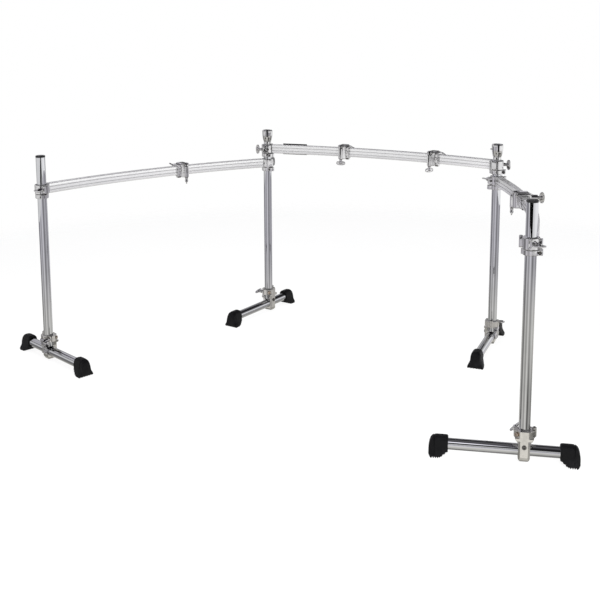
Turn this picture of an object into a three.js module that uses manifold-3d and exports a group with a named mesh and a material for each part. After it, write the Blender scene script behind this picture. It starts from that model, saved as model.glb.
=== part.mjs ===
// Three-sided curved rack frame for drums: four round posts on T-feet, three curved
// rectangular rails between them, rail-end clamps with wing bolts and memory locks,
// two receiver heads and four sliding clamps with vertical tube holders.
// Millimetres, +Z up, the floor at z = 0, the player's open side towards -Y.
import * as THREE from 'three';
import { ConvexGeometry } from 'three/addons/geometries/ConvexGeometry.js';
import { mergeVertices } from 'three/addons/utils/BufferGeometryUtils.js';
import Module from 'manifold-3d';

const wasm = await Module();
wasm.setup();

// ---------------------------------------------------------------- driving dimensions
const POST_D = 38.1;          // post and foot tube outside diameter
const TUBE_WALL = 1.6;
const GAP = 0.3;              // clearance between touching pieces
const SEG = 18;               // facets on the post-sized rounds
const BORE_R = (POST_D / 2 + GAP) / Math.cos(Math.PI / SEG);   // clears the post's corners
const SIDE_Z = 736.3;         // middle of the side rails
const FRONT_Z = 804.1;        // middle of the front rail
const POST_BOTTOM = 62;
const SIDE_POST_TOP = 868.6;  // tube end under the cap
const FRONT_POST_TOP = 826;
const CAP_TOP = 876;

const RAIL_H = 40.4;          // rail section
const RAIL_T = 29.5;
const RAIL_WALL = 2.4;
const RAIL_SAG = 66.5;        // rise of the arc over its chord
const RAIL_START = 27.3;      // rail end from the post axis, along the rail
const RAIL_STEPS = 18;

// post axes in plan (left, rear left, rear right, right)
const CENTRE = { x: 491.63, y: -490.07 };   // middle of the whole outline
const POSTS = {
  left: { x: -514.7 - CENTRE.x, y: -1003.8 - CENTRE.y },
  rear_left: { x: 0 - CENTRE.x, y: 0 - CENTRE.y },
  rear_right: { x: 1120.2 - CENTRE.x, y: 0 - CENTRE.y },
  right: { x: 1517.3 - CENTRE.x, y: -1047.2 - CENTRE.y },
};

// T-feet: direction of the long side in plan (degrees), clear tube length on the
// long and on the short side, and the side of the post that the plate stands on
const FEET = {
  left: { dir: -18.93, long: 221, short: 141, plate: 90 },
  rear_left: { dir: -97.93, long: 247, short: 115, plate: 90 },
  rear_right: { dir: -85.93, long: 265, short: 97, plate: -90 },
  right: { dir: 195.57, long: 246, short: 116, plate: 90 },
};
const TUBE_Z = 40;            // foot tube axis above the floor
const TUBE_OFF = 4;           // foot tube axis from the post axis, towards the plate
const TUBE_IN_BOOT = 50;
const BOOT_L = 64, BOOT_W = 57, BOOT_H = 70;

const CLAMP_H = 39;           // rail-end clamp height
const COLLAR_R = 28;
const EAR_Y = 29;             // wing bolt axis beside the post axis
const LOCK_H = 18.2, LOCK_R = 27;

// sliding clamps: rail, place along it (0 to 1), side that the short arm lies on
const SLIDERS = {
  slider_left: { rail: 'left', t: 0.614, side: -1, turn: 26.5 },
  slider_front_left: { rail: 'front', t: 0.337, side: 1, turn: 90 },
  slider_front_right: { rail: 'front', t: 0.729, side: 1, turn: 24 },
  slider_right: { rail: 'right', t: 0.39, side: 1, turn: 100.6 },
};
const HOLDER_Y = -29, HOLDER_R = 19.5, HOLDER_BORE = 11.5;
const HOLDER_TOP = 36, HOLDER_BOTTOM = -28;
const SLIDER_BOLT_Y = -46.5;

// colours and finish, from the photograph
const FINISH = {
  chrome: { color: 0xd6d8dc, roughness: 0.06, metalness: 1 },
  casting: { color: 0xcfcdc6, roughness: 0.2, metalness: 1 },
  rail: { color: 0xdadbdc, roughness: 0.38, metalness: 1 },
  rubber: { color: 0x1a1a1c, roughness: 0.6, metalness: 0 },
  plastic: { color: 0x121213, roughness: 0.35, metalness: 0 },
};

// ---------------------------------------------------------------- solid helpers
function solid(geometry) {
  let g = geometry.index ? geometry.toNonIndexed() : geometry.clone();
  for (const k of Object.keys(g.attributes)) if (k !== 'position') g.deleteAttribute(k);
  g = mergeVertices(g, 1e-4);
  const m = new wasm.Mesh({
    numProp: 3,
    vertProperties: new Float32Array(g.attributes.position.array),
    triVerts: new Uint32Array(g.index.array),
  });
  m.merge();
  return new wasm.Manifold(m);
}
function geometryOf(man) {
  const m = man.getMesh();
  const g = new THREE.BufferGeometry();
  const pos = new Float32Array(m.numVert * 3);
  for (let i = 0; i < m.numVert; i++)
    for (let k = 0; k < 3; k++) pos[i * 3 + k] = m.vertProperties[i * m.numProp + k];
  g.setAttribute('position', new THREE.BufferAttribute(pos, 3));
  g.setIndex(new THREE.BufferAttribute(new Uint32Array(m.triVerts), 1));
  const flat = g.toNonIndexed();
  flat.computeVertexNormals();
  return flat;
}
const unite = (list) => list.reduce((a, b) => a.add(b));
const deg = THREE.MathUtils.degToRad;

// box by its corners
function box(x0, x1, y0, y1, z0, z1) {
  const g = new THREE.BoxGeometry(x1 - x0, y1 - y0, z1 - z0);
  g.translate((x0 + x1) / 2, (y0 + y1) / 2, (z0 + z1) / 2);
  return solid(g);
}
// upright round from z0 to z1
function round(r, z0, z1, seg = SEG, x = 0, y = 0, r2 = r) {
  const g = new THREE.CylinderGeometry(r2, r, z1 - z0, seg);
  g.rotateX(Math.PI / 2);
  g.rotateZ(Math.PI / seg);
  g.translate(x, y, (z0 + z1) / 2);
  return solid(g);
}
// round along X from x0 to x1
function roundX(r, x0, x1, y, z, seg = 12) {
  const g = new THREE.CylinderGeometry(r, r, x1 - x0, seg);
  g.rotateZ(Math.PI / 2);
  g.translate((x0 + x1) / 2, y, z);
  return solid(g);
}
// round along Y from y0 to y1
function roundY(r, y0, y1, x, z, seg = SEG) {
  const g = new THREE.CylinderGeometry(r, r, y1 - y0, seg);
  g.rotateY(Math.PI / seg);
  g.translate(x, (y0 + y1) / 2, z);
  return solid(g);
}
// plan outline, upright from z0 to z1
function prism(points, z0, z1) {
  const s = new THREE.Shape(points.map(([x, y]) => new THREE.Vector2(x, y)));
  const g = new THREE.ExtrudeGeometry(s, { depth: z1 - z0, bevelEnabled: false, steps: 1 });
  g.translate(0, 0, z0);
  return solid(g);
}
// outline in the XZ plane, along Y from y0 to y1
function prismY(points, y0, y1) {
  const s = new THREE.Shape(points.map(([x, z]) => new THREE.Vector2(x, z)));
  const g = new THREE.ExtrudeGeometry(s, { depth: y1 - y0, bevelEnabled: false, steps: 1 });
  g.rotateX(Math.PI / 2);
  g.translate(0, y1, 0);
  return solid(g);
}
// outline in the YZ plane, along X from x0 to x1
function prismX(points, x0, x1) {
  const s = new THREE.Shape(points.map(([y, z]) => new THREE.Vector2(y, z)));
  const g = new THREE.ExtrudeGeometry(s, { depth: x1 - x0, bevelEnabled: false, steps: 1 });
  g.rotateX(Math.PI / 2);
  g.rotateZ(Math.PI / 2);
  g.translate(x0, 0, 0);
  return solid(g);
}
// upright turned piece: profile points are [radius, z]
function turned(profile, seg = SEG) {
  const g = new THREE.LatheGeometry(profile.map(([r, z]) => new THREE.Vector2(r, z)), seg);
  g.rotateX(Math.PI / 2);
  g.rotateZ(Math.PI / seg);
  return g;
}
function hollowTube(ro, ri, z0, z1, seg = SEG) {
  return turned([[ri, z0], [ro, z0], [ro, z1], [ri, z1], [ri, z0]], seg);
}

// ---------------------------------------------------------------- scene helpers
const rack = new THREE.Group();
function add(name, geometry, finish, place = null) {
  const f = FINISH[finish];
  const mesh = new THREE.Mesh(
    geometry instanceof THREE.BufferGeometry ? geometry : geometryOf(geometry),
    new THREE.MeshStandardMaterial({ color: f.color, roughness: f.roughness, metalness: f.metalness }),
  );
  mesh.name = name;
  if (place) {
    mesh.position.set(place.x, place.y, place.z || 0);
    mesh.rotation.set(0, 0, place.turn || 0);
  }
  rack.add(mesh);
  return mesh;
}

// ---------------------------------------------------------------- rails
// An arc in plan through two post axes, bulging to the left of the way from a to b.
function arcOf(a, b) {
  const dx = b.x - a.x, dy = b.y - a.y, L = Math.hypot(dx, dy);
  const ex = dx / L, ey = dy / L, nx = -ey, ny = ex;
  const R = (L * L / 4 + RAIL_SAG * RAIL_SAG) / (2 * RAIL_SAG);
  const cx = (a.x + b.x) / 2 - nx * (R - RAIL_SAG), cy = (a.y + b.y) / 2 - ny * (R - RAIL_SAG);
  const a0 = Math.atan2(a.y - cy, a.x - cx), a1 = Math.atan2(b.y - cy, b.x - cx);
  let sweep = a1 - a0;
  while (sweep > Math.PI) sweep -= 2 * Math.PI;
  while (sweep < -Math.PI) sweep += 2 * Math.PI;
  return {
    cx, cy, R, a0, sweep,
    angle: (t) => a0 + sweep * t,
    point: (t) => ({ x: cx + R * Math.cos(a0 + sweep * t), y: cy + R * Math.sin(a0 + sweep * t) }),
    // direction of travel from a to b
    heading: (t) => a0 + sweep * t - Math.PI / 2,
  };
}
const ARCS = {
  left: { ...arcOf(POSTS.left, POSTS.rear_left), z: SIDE_Z },
  front: { ...arcOf(POSTS.rear_left, POSTS.rear_right), z: FRONT_Z },
  right: { ...arcOf(POSTS.rear_right, POSTS.right), z: SIDE_Z },
};
class PlanArc extends THREE.Curve {
  constructor(arc, t0, t1) { super(); this.arc = arc; this.t0 = t0; this.t1 = t1; }
  getPoint(u, target = new THREE.Vector3()) {
    const p = this.arc.point(this.t0 + (this.t1 - this.t0) * u);
    return target.set(p.x, p.y, this.arc.z);
  }
}
// Rectangular tube with softened corners, swept along the plan arc. A section's first
// axis lies along the path's normal, so both ways round are allowed for.
function sweptBox(curve, halfT, halfH) {
  const frames = curve.computeFrenetFrames(RAIL_STEPS, false);
  const upright = Math.abs(frames.normals[0].z) > 0.5;
  const a = upright ? halfH : halfT, b = upright ? halfT : halfH, c = 1.6;
  const s = new THREE.Shape([
    [-a + c, -b], [a - c, -b], [a, -b + c], [a, b - c],
    [a - c, b], [-a + c, b], [-a, b - c], [-a, -b + c],
  ].map(([x, y]) => new THREE.Vector2(x, y)));
  return solid(new THREE.ExtrudeGeometry(s, { steps: RAIL_STEPS, bevelEnabled: false, extrudePath: curve }));
}
for (const [name, arc] of Object.entries(ARCS)) {
  const cut = RAIL_START / (arc.R * Math.abs(arc.sweep));
  const outer = sweptBox(new PlanArc(arc, cut, 1 - cut), RAIL_T / 2, RAIL_H / 2);
  const over = cut * 0.7;
  const inner = sweptBox(new PlanArc(arc, cut - over, 1 - cut + over), RAIL_T / 2 - RAIL_WALL, RAIL_H / 2 - RAIL_WALL);
  add(`rail_${name}`, outer.subtract(inner), 'rail');
}

// ---------------------------------------------------------------- posts, caps, heads
const POST_RI = POST_D / 2 - TUBE_WALL;
for (const [name, p] of Object.entries(POSTS)) {
  const top = name.startsWith('rear') ? FRONT_POST_TOP : SIDE_POST_TOP;
  add(`post_${name}`, hollowTube(POST_D / 2, POST_RI, POST_BOTTOM, top), 'chrome', p);
}
for (const name of ['left', 'right']) {
  // domed plug cap
  const cap = turned([
    [0, SIDE_POST_TOP - 16], [POST_RI - GAP, SIDE_POST_TOP - 16], [POST_RI - GAP, SIDE_POST_TOP + GAP],
    [19.8, SIDE_POST_TOP + GAP], [19.8, CAP_TOP - 2.4], [17.6, CAP_TOP - 0.4], [12, CAP_TOP], [0, CAP_TOP],
  ]);
  add(`post_cap_${name}`, cap, 'plastic', POSTS[name]);
}
// Receiver head: plug in the post, narrow split neck and a flared split cup with a bore.
const HEAD = { neckR: 17, neckTop: 841, top: 894, bore: 15.2, boreBottom: 846 };
const HEAD_BOLT_Z = 866;
const HEAD_TURN = { rear_left: deg(116.17 - 90), rear_right: deg(116.17 - 90) };
function receiverHead() {
  const body = solid(turned([
    [0, 776], [POST_RI - GAP, 776], [POST_RI - GAP, FRONT_POST_TOP + 0.6], [HEAD.neckR, FRONT_POST_TOP + 0.6],
    [HEAD.neckR, HEAD.neckTop - 2], [18.4, HEAD.neckTop + 1], [21.6, 852], [23.6, 866], [24.4, 880],
    [24.4, HEAD.top - 3], [22.6, HEAD.top], [0, HEAD.top],
  ]));
  // boss for the wing bolt on the outer side
  const boss = box(-9, 9, 17, 31, HEAD_BOLT_Z - 9, HEAD_BOLT_Z + 9);
  const bore = round(HEAD.bore, HEAD.boreBottom, HEAD.top + 5);
  const slotUp = box(-2.8, 2.8, -30, 0, 870, HEAD.top + 5);
  const slotLow = box(-2.6, 2.6, -30, -8, FRONT_POST_TOP + 2.4, HEAD.neckTop);
  const screw = roundY(4.5, 10, 40, 0, HEAD_BOLT_Z, 12);
  return unite([body, boss]).subtract(bore).subtract(slotUp).subtract(slotLow).subtract(screw);
}
for (const name of ['rear_left', 'rear_right'])
  add(`receiver_head_${name}`, receiverHead(), 'chrome', { ...POSTS[name], turn: HEAD_TURN[name] });

// ---------------------------------------------------------------- wing bolts
// Built along +X: shank from -reach to 0, hub, then the two wings as one lens plate
// standing in the XZ plane.
function wingBolt(reach, blade = 22, wide = 18, neck = 6) {
  const shank = roundX(4, -reach, 3, 0, 0, 8);
  const hub = roundX(7, 0, neck + wide * 0.62, 0, 0, 10);
  const h = blade, w = wide, x = neck;
  const plate = prismY([
    [x + 1, -6], [x + 4, -h * 0.8], [x + w * 0.5, -h], [x + w * 0.92, -h * 0.84], [x + w, -h * 0.5], [x + w * 0.86, 0],
    [x + w, h * 0.5], [x + w * 0.92, h * 0.84], [x + w * 0.5, h], [x + 4, h * 0.8], [x + 1, 6],
  ], -2.6, 2.6);
  return unite([shank, hub, plate]);
}
const _m = new THREE.Matrix4();
function moved(man, matrix) {
  const g = geometryOf(man);
  g.applyMatrix4(matrix);
  return g;
}
// roll about the bolt's own axis first, then stand or turn it, then place it
function placedBolt(man, { roll = 0, axis = 'x', turn = 0, at }) {
  const m = new THREE.Matrix4().makeRotationX(roll);
  if (axis === 'down') m.premultiply(_m.makeRotationY(Math.PI / 2));
  m.premultiply(_m.makeRotationZ(turn));
  m.premultiply(_m.makeTranslation(at.x, at.y, at.z));
  return moved(man, m);
}

// ---------------------------------------------------------------- rail-end clamps
// Local frame: origin on the post axis at the rail's mid height, +X into the rail.
// A collar split on its -Y side, two pairs of ears, a neck with a flange of the rail's
// outline, and a tongue that goes into the rail.
const JAW_X = -12.5;          // face that the wing bolt's hub bears on
function railClamp() {
  const h = CLAMP_H / 2;
  const collar = round(COLLAR_R, -h, h).subtract(box(26.5, 40, -40, 40, -h - 1, h + 1));
  const ears = box(JAW_X, 12, -36, 36, -h + 5, h - 5);
  const hinge = round(6.2, -h, h, 12, 0, 33.5);
  const neck = prism([[8, -21], [20, -17], [26.5, -RAIL_T / 2], [26.5, RAIL_T / 2], [20, 17], [8, 21]], -h, h);
  const tongue = box(20, 72, -10.4, 10.4, -15.5, 15.5);
  const bore = round(BORE_R, -h - 1, h + 1);
  const slit = box(-1.3, 1.3, -50, -10, -h - 1, h + 1);
  const screw = roundX(4.6, JAW_X - 5, 15, -EAR_Y, 0, 12);
  return unite([collar, ears, hinge, neck, tongue]).subtract(bore).subtract(slit).subtract(screw);
}
const RAIL_CLAMPS = {
  left_outer: { post: 'left', rail: 'left', end: 0, roll: 90 },
  left_inner: { post: 'rear_left', rail: 'left', end: 1, roll: 10 },
  front_left: { post: 'rear_left', rail: 'front', end: 0, roll: 4 },
  front_right: { post: 'rear_right', rail: 'front', end: 1, roll: -4 },
  right_inner: { post: 'rear_right', rail: 'right', end: 0, roll: 80 },
  right_outer: { post: 'right', rail: 'right', end: 1, roll: 90 },
};
const BOLT_REACH = 21;
for (const [name, c] of Object.entries(RAIL_CLAMPS)) {
  const arc = ARCS[c.rail], p = POSTS[c.post];
  const turn = c.end === 0 ? arc.heading(0) : arc.heading(1) + Math.PI;
  add(`rail_clamp_${name}`, railClamp(), 'chrome', { ...p, z: arc.z, turn });
  // the bolt points away from the rail, beside the post
  const cos = Math.cos(turn), sin = Math.sin(turn);
  const lx = JAW_X - 6.5, ly = -EAR_Y;
  const at = { x: p.x + lx * cos - ly * sin, y: p.y + lx * sin + ly * cos, z: arc.z };
  add(`wing_bolt_${name}`, placedBolt(wingBolt(BOLT_REACH, 22, 18, 12), { roll: deg(90 - c.roll + 90), turn: turn + Math.PI, at }), 'chrome');
}

// ---------------------------------------------------------------- memory locks
// Ring under each clamp with a boss that carries a key bolt.
function memoryLock(z0) {
  const ring = round(LOCK_R, z0, z0 + LOCK_H);
  const boss = prism([[14, -13], [34, -13], [38, -9], [38, 9], [34, 13], [14, 13]], z0 + 0.6, z0 + LOCK_H - 0.6);
  const bore = round(BORE_R, z0 - 1, z0 + LOCK_H + 1);
  const slit = box(10, 50, -1, 1, z0 - 1, z0 + LOCK_H + 1);
  const sink = roundY(5.2, -20, -8.5, 29.5, z0 + LOCK_H / 2, 12);
  return unite([ring, boss]).subtract(bore).subtract(slit).subtract(sink);
}
const LOCKS = {
  left: { post: 'left', under: SIDE_Z, turn: -36 },
  rear_left_side: { post: 'rear_left', under: SIDE_Z, turn: -24 },
  rear_left_front: { post: 'rear_left', under: FRONT_Z, turn: -24 },
  rear_right_front: { post: 'rear_right', under: FRONT_Z, turn: 13 },
  rear_right_side: { post: 'rear_right', under: SIDE_Z, turn: 206 },
  right: { post: 'right', under: SIDE_Z, turn: 9 },
};
for (const [name, l] of Object.entries(LOCKS)) {
  const top = l.under - CLAMP_H / 2 - 0.5;
  add(`memory_lock_${name}`, memoryLock(top - LOCK_H), 'chrome', { ...POSTS[l.post], turn: deg(l.turn) });
}

// ---------------------------------------------------------------- T-feet
// Foot clamp, local frame: origin on the post axis at the floor, +X towards the plate,
// the foot tube runs along Y.
const FOOT_TOP = 111, FOOT_LOW = 86, PLATE_X = 30;
const FOOT_BOLT_Z = 98.5;
function footClamp() {
  // collar body, six-sided with the flat panel in front
  const head = prism([
    [PLATE_X, -15], [PLATE_X, 15], [12, 34], [-9, 34], [-24, 20], [-29, 8], [-29, -8], [-24, -20], [-9, -34], [12, -34],
  ], FOOT_LOW, FOOT_TOP);
  const hinge = round(6.4, FOOT_LOW, FOOT_TOP + 7, 12, -2, 32);
  // front arm: tapers under the collar, then an even strip down past the tube
  const arm = prismX([
    [-31, FOOT_LOW + 1], [-20, 66], [-19.5, 16], [-13, 6.5], [13, 6.5], [19.5, 16], [20, 66], [31, FOOT_LOW + 1],
  ], -16, PLATE_X);
  // round hook under the tube, open at the back
  const back = prismY([[-40, 30], [TUBE_OFF - 6, 30], [TUBE_OFF - 6, 59.6], [8.6, 59.6], [8.6, FOOT_LOW - 0.01], [-40, FOOT_LOW - 0.01]], -50, 50);
  const heel = prismY([[-40, 0], [-3, 0], [-12, 9], [-17.5, 22], [-18.5, 31], [-40, 31]], -50, 50);
  const toe = prismY([[PLATE_X + 5, 0], [13, 0], [PLATE_X - 9, 5], [PLATE_X - 3, 12], [PLATE_X + 0.01, 22], [PLATE_X + 5, 22]], -50, 50);
  // bevels beside the flat front strip
  const bevelL = prism([[PLATE_X + 1, 12], [PLATE_X + 1, 40], [PLATE_X - 14, 40], [PLATE_X - 7, 19.8]], 0, FOOT_LOW - 8);
  const bevelR = prism([[PLATE_X + 1, -12], [PLATE_X - 7, -19.8], [PLATE_X - 14, -40], [PLATE_X + 1, -40]], 0, FOOT_LOW - 8);
  const tube = roundY(BORE_R, -60, 60, TUBE_OFF, TUBE_Z);
  const post = round(BORE_R, POST_BOTTOM - 2.2, FOOT_TOP + 10);
  const slit = box(-6, -3.4, -50, -12, FOOT_LOW - 1, FOOT_TOP + 1);
  const screw = roundX(4.6, -40, 12, -EAR_Y, FOOT_BOLT_Z, 12);
  const seat = box(-40, -12.5, -40, -18, FOOT_LOW - 1, FOOT_TOP + 1);
  return unite([head, hinge, arm]).subtract(back).subtract(heel).subtract(toe).subtract(bevelL).subtract(bevelR)
    .subtract(tube).subtract(post).subtract(seat).subtract(slit).subtract(screw);
}
// Rubber boot: blind socket for the tube end, flat sole. Built with the tube entering
// its face at x = 0 and the boot reaching to x = BOOT_L.
function boot() {
  const pts = [];
  const ringAt = (z, x0, x1, w, c) => {
    for (const [x, y] of [
      [x0, -w + c], [x0 + c, -w], [x1 - c, -w], [x1, -w + c], [x1, w - c], [x1 - c, w], [x0 + c, w], [x0, w - c],
    ]) pts.push(new THREE.Vector3(x, y, z));
  };
  ringAt(0, 0, BOOT_L, BOOT_W / 2, 7);
  ringAt(14, 0, BOOT_L, BOOT_W / 2, 7);
  ringAt(34, 0, BOOT_L - 6, BOOT_W / 2 - 3.5, 8);
  ringAt(58, 0, BOOT_L - 13, BOOT_W / 2 - 6, 9);
  ringAt(BOOT_H - 4, 1, BOOT_L - 22, BOOT_W / 2 - 11, 9);
  ringAt(BOOT_H, 4, BOOT_L - 28, BOOT_W / 2 - 15, 7);
  const shell = solid(new ConvexGeometry(pts));
  const socket = roundX(BORE_R, -5, TUBE_IN_BOOT + 1, 0, TUBE_Z, SEG);
  // arch under the tube side
  const arch = prismX([[-13, -5], [13, -5], [13, 3], [8, 7.5], [-8, 7.5], [-13, 3]], -5, 16);
  return shell.subtract(socket).subtract(arch);
}
for (const [name, f] of Object.entries(FEET)) {
  const p = POSTS[name];
  const plateDir = deg(f.dir + f.plate);
  const dir = deg(f.dir);
  add(`foot_clamp_${name}`, footClamp(), 'casting', { ...p, turn: plateDir });
  // wing bolt on the back of the collar
  const cos = Math.cos(plateDir), sin = Math.sin(plateDir);
  const lx = -12.5 - 6.5, ly = -EAR_Y;
  const at = { x: p.x + lx * cos - ly * sin, y: p.y + lx * sin + ly * cos, z: FOOT_BOLT_Z };
  add(`foot_wing_bolt_${name}`, placedBolt(wingBolt(BOLT_REACH, 22, 18, 12), { roll: deg(78), turn: plateDir + Math.PI, at }), 'chrome');
  // tube across the post's foot
  const axis = { x: p.x + TUBE_OFF * cos, y: p.y + TUBE_OFF * sin };
  const len = f.long + f.short + 2 * TUBE_IN_BOOT;
  const mid = (f.long - f.short) / 2;
  const tube = new THREE.Mesh(
    hollowTube(POST_D / 2, POST_RI, -len / 2, len / 2),
    new THREE.MeshStandardMaterial({ color: FINISH.chrome.color, roughness: FINISH.chrome.roughness, metalness: 1 }),
  );
  tube.name = `foot_tube_${name}`;
  tube.geometry.rotateY(Math.PI / 2);
  tube.position.set(axis.x + Math.cos(dir) * mid, axis.y + Math.sin(dir) * mid, TUBE_Z);
  tube.rotation.set(0, 0, dir);
  rack.add(tube);
  // boots on both ends
  for (const [end, sign, reach] of [['long', 1, f.long], ['short', -1, f.short]]) {
    add(`rubber_foot_${name}_${end}`, boot(), 'rubber', {
      x: axis.x + Math.cos(dir) * sign * reach,
      y: axis.y + Math.sin(dir) * sign * reach,
      turn: dir + (sign < 0 ? Math.PI : 0),
    });
  }
}

// ---------------------------------------------------------------- sliding clamps
// Local frame: origin in the rail's section, +X along the rail, +Y to its outer side.
function slider(side) {
  const g = 0.5;
  const ti = RAIL_T / 2 + g, hi = RAIL_H / 2 + g;
  const holder = round(HOLDER_R, HOLDER_BOTTOM, HOLDER_TOP, SEG, 0, HOLDER_Y)
    .subtract(box(-40, 40, -ti, ti, -hi, hi));
  const pad = box(-18, 18, HOLDER_Y, -ti, HOLDER_BOTTOM + 2, hi + 7);
  // C-shaped jaws that hold the rail above, below and behind
  const jaws = prismX([
    [-ti - 7, -hi - 6.5], [6, -hi - 6.5], [6, -hi], [-ti, -hi], [-ti, hi], [ti, hi], [ti, 6], [ti + 6.5, 6],
    [ti + 6.5, hi + 3], [ti + 3, hi + 7], [-ti - 7, hi + 7],
  ], -16, 30);
  const lip = box(10, 26, -9, 5, -hi - 13, -hi - 6);
  const block = box(12, 30, -ti - 12, -ti - 3, -14, hi + 7);
  // ears in front of the holder and the bolt boss
  const ears = box(-9, 9, -53.5, HOLDER_Y - 12, HOLDER_BOTTOM, 22);
  const bore = round(HOLDER_BORE, HOLDER_BOTTOM - 5, HOLDER_TOP + 5, SEG, 0, HOLDER_Y);
  const slot = box(-1.5, 1.5, -80, HOLDER_Y, HOLDER_BOTTOM - 5, HOLDER_TOP + 5);
  const screw = round(4.6, HOLDER_BOTTOM - 5, -5, 12, 0, SLIDER_BOLT_Y);
  const body = unite([holder, pad, jaws, lip, block, ears]).subtract(bore).subtract(slot).subtract(screw);
  const geo = geometryOf(body);
  if (side < 0) {
    // the mirrored hand, with its faces turned back outwards
    geo.scale(-1, 1, 1);
    const a = geo.attributes.position;
    for (let i = 0; i < a.count; i += 3) {
      for (let k = 0; k < 3; k++) {
        const u = a.array[(i + 1) * 3 + k];
        a.array[(i + 1) * 3 + k] = a.array[(i + 2) * 3 + k];
        a.array[(i + 2) * 3 + k] = u;
      }
    }
    geo.computeVertexNormals();
  }
  return geo;
}
for (const [name, s] of Object.entries(SLIDERS)) {
  const arc = ARCS[s.rail], p = arc.point(s.t), turn = arc.heading(s.t);
  add(name, slider(s.side), 'chrome', { ...p, z: arc.z, turn });
  const cos = Math.cos(turn), sin = Math.sin(turn);
  const at = { x: p.x - SLIDER_BOLT_Y * sin, y: p.y + SLIDER_BOLT_Y * cos, z: arc.z + HOLDER_BOTTOM - 0.4 };
  add(`${name}_wing_bolt`, placedBolt(wingBolt(20, 22, 20, 8), { roll: deg(90 + s.turn), axis: 'down', turn, at }), 'chrome');
}

// ---------------------------------------------------------------- receiver wing bolts
for (const [name, roll] of [['rear_left', 0], ['rear_right', 90]]) {
  const p = POSTS[name], turn = HEAD_TURN[name] + Math.PI / 2;
  const at = { x: p.x + Math.cos(turn) * 31.4, y: p.y + Math.sin(turn) * 31.4, z: HEAD_BOLT_Z };
  add(`receiver_wing_bolt_${name}`, placedBolt(wingBolt(15, 22, 16, 6), { roll: deg(roll), turn, at }), 'chrome');
}

// ---------------------------------------------------------------- blank plate
// Plain riveted plate on the outer face of the front rail, near its left end.
{
  const arc = ARCS.front, t = 0.117, p = arc.point(t), turn = arc.heading(t);
  const plate = box(-59, 59, RAIL_T / 2 + 0.9, RAIL_T / 2 + 3.4, -27, 29);
  add('blank_plate', plate, 'plastic', { ...p, z: arc.z, turn });
}

export default rack;
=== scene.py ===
import math

import bmesh
import bpy
from mathutils import Matrix, Vector


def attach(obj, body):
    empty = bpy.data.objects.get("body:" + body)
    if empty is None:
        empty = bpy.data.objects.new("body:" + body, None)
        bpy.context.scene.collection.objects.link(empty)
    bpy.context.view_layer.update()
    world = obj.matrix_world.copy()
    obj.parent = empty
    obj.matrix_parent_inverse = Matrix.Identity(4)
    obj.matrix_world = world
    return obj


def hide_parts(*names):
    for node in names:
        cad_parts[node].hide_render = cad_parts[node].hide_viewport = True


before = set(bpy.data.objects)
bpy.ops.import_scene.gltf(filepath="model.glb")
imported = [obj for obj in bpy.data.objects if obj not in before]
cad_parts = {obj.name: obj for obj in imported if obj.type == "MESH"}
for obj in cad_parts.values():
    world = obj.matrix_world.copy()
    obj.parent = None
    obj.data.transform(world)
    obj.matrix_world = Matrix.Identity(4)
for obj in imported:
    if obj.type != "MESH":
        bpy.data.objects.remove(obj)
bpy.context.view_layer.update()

SCENE = bpy.context.scene
MM = 0.001

# ------------------------------------------------------------------ dimensions (mm)
CENTRE = (491.63, -490.07)
POST_R, WALL = 19.05, 1.6
POST_RI = POST_R - WALL
BORE_R = 19.55
SIDE_Z, FRONT_Z = 736.3, 804.1
POST_BOTTOM, SIDE_POST_TOP, FRONT_POST_TOP, CAP_TOP = 62.0, 868.6, 826.0, 876.0
RAIL_H, RAIL_T, RAIL_WALL, RAIL_SAG, RAIL_START = 40.4, 29.5, 2.4, 66.5, 27.3
POSTS = {
    "left": (-514.7 - CENTRE[0], -1003.8 - CENTRE[1]),
    "rear_left": (0 - CENTRE[0], 0 - CENTRE[1]),
    "rear_right": (1120.2 - CENTRE[0], 0 - CENTRE[1]),
    "right": (1517.3 - CENTRE[0], -1047.2 - CENTRE[1]),
}
FEET = {  # direction of the long side, clear length long and short, side of the plate
    "left": (-18.93, 221, 141, 90),
    "rear_left": (-97.93, 247, 115, 90),
    "rear_right": (-85.93, 265, 97, -90),
    "right": (195.57, 246, 116, 90),
}
TUBE_Z, TUBE_OFF, TUBE_IN_BOOT = 40, 4, 50
CLAMP_H, EAR_Y, JAW_X = 39, 29, -12.5
LOCK_H, LOCK_R = 18.2, 27
HOLDER_Y, HOLDER_R, HOLDER_BORE, HOLDER_TOP, HOLDER_BOTTOM = -29, 19.5, 11.5, 36, -28
SLIDER_BOLT_Y = -46.5
HEAD_BOLT_Z, HEAD_TURN = 866, math.radians(26.17)
FOOT_TOP, FOOT_LOW, PLATE_X, FOOT_BOLT_Z = 111, 86, 30, 98.5


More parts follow.
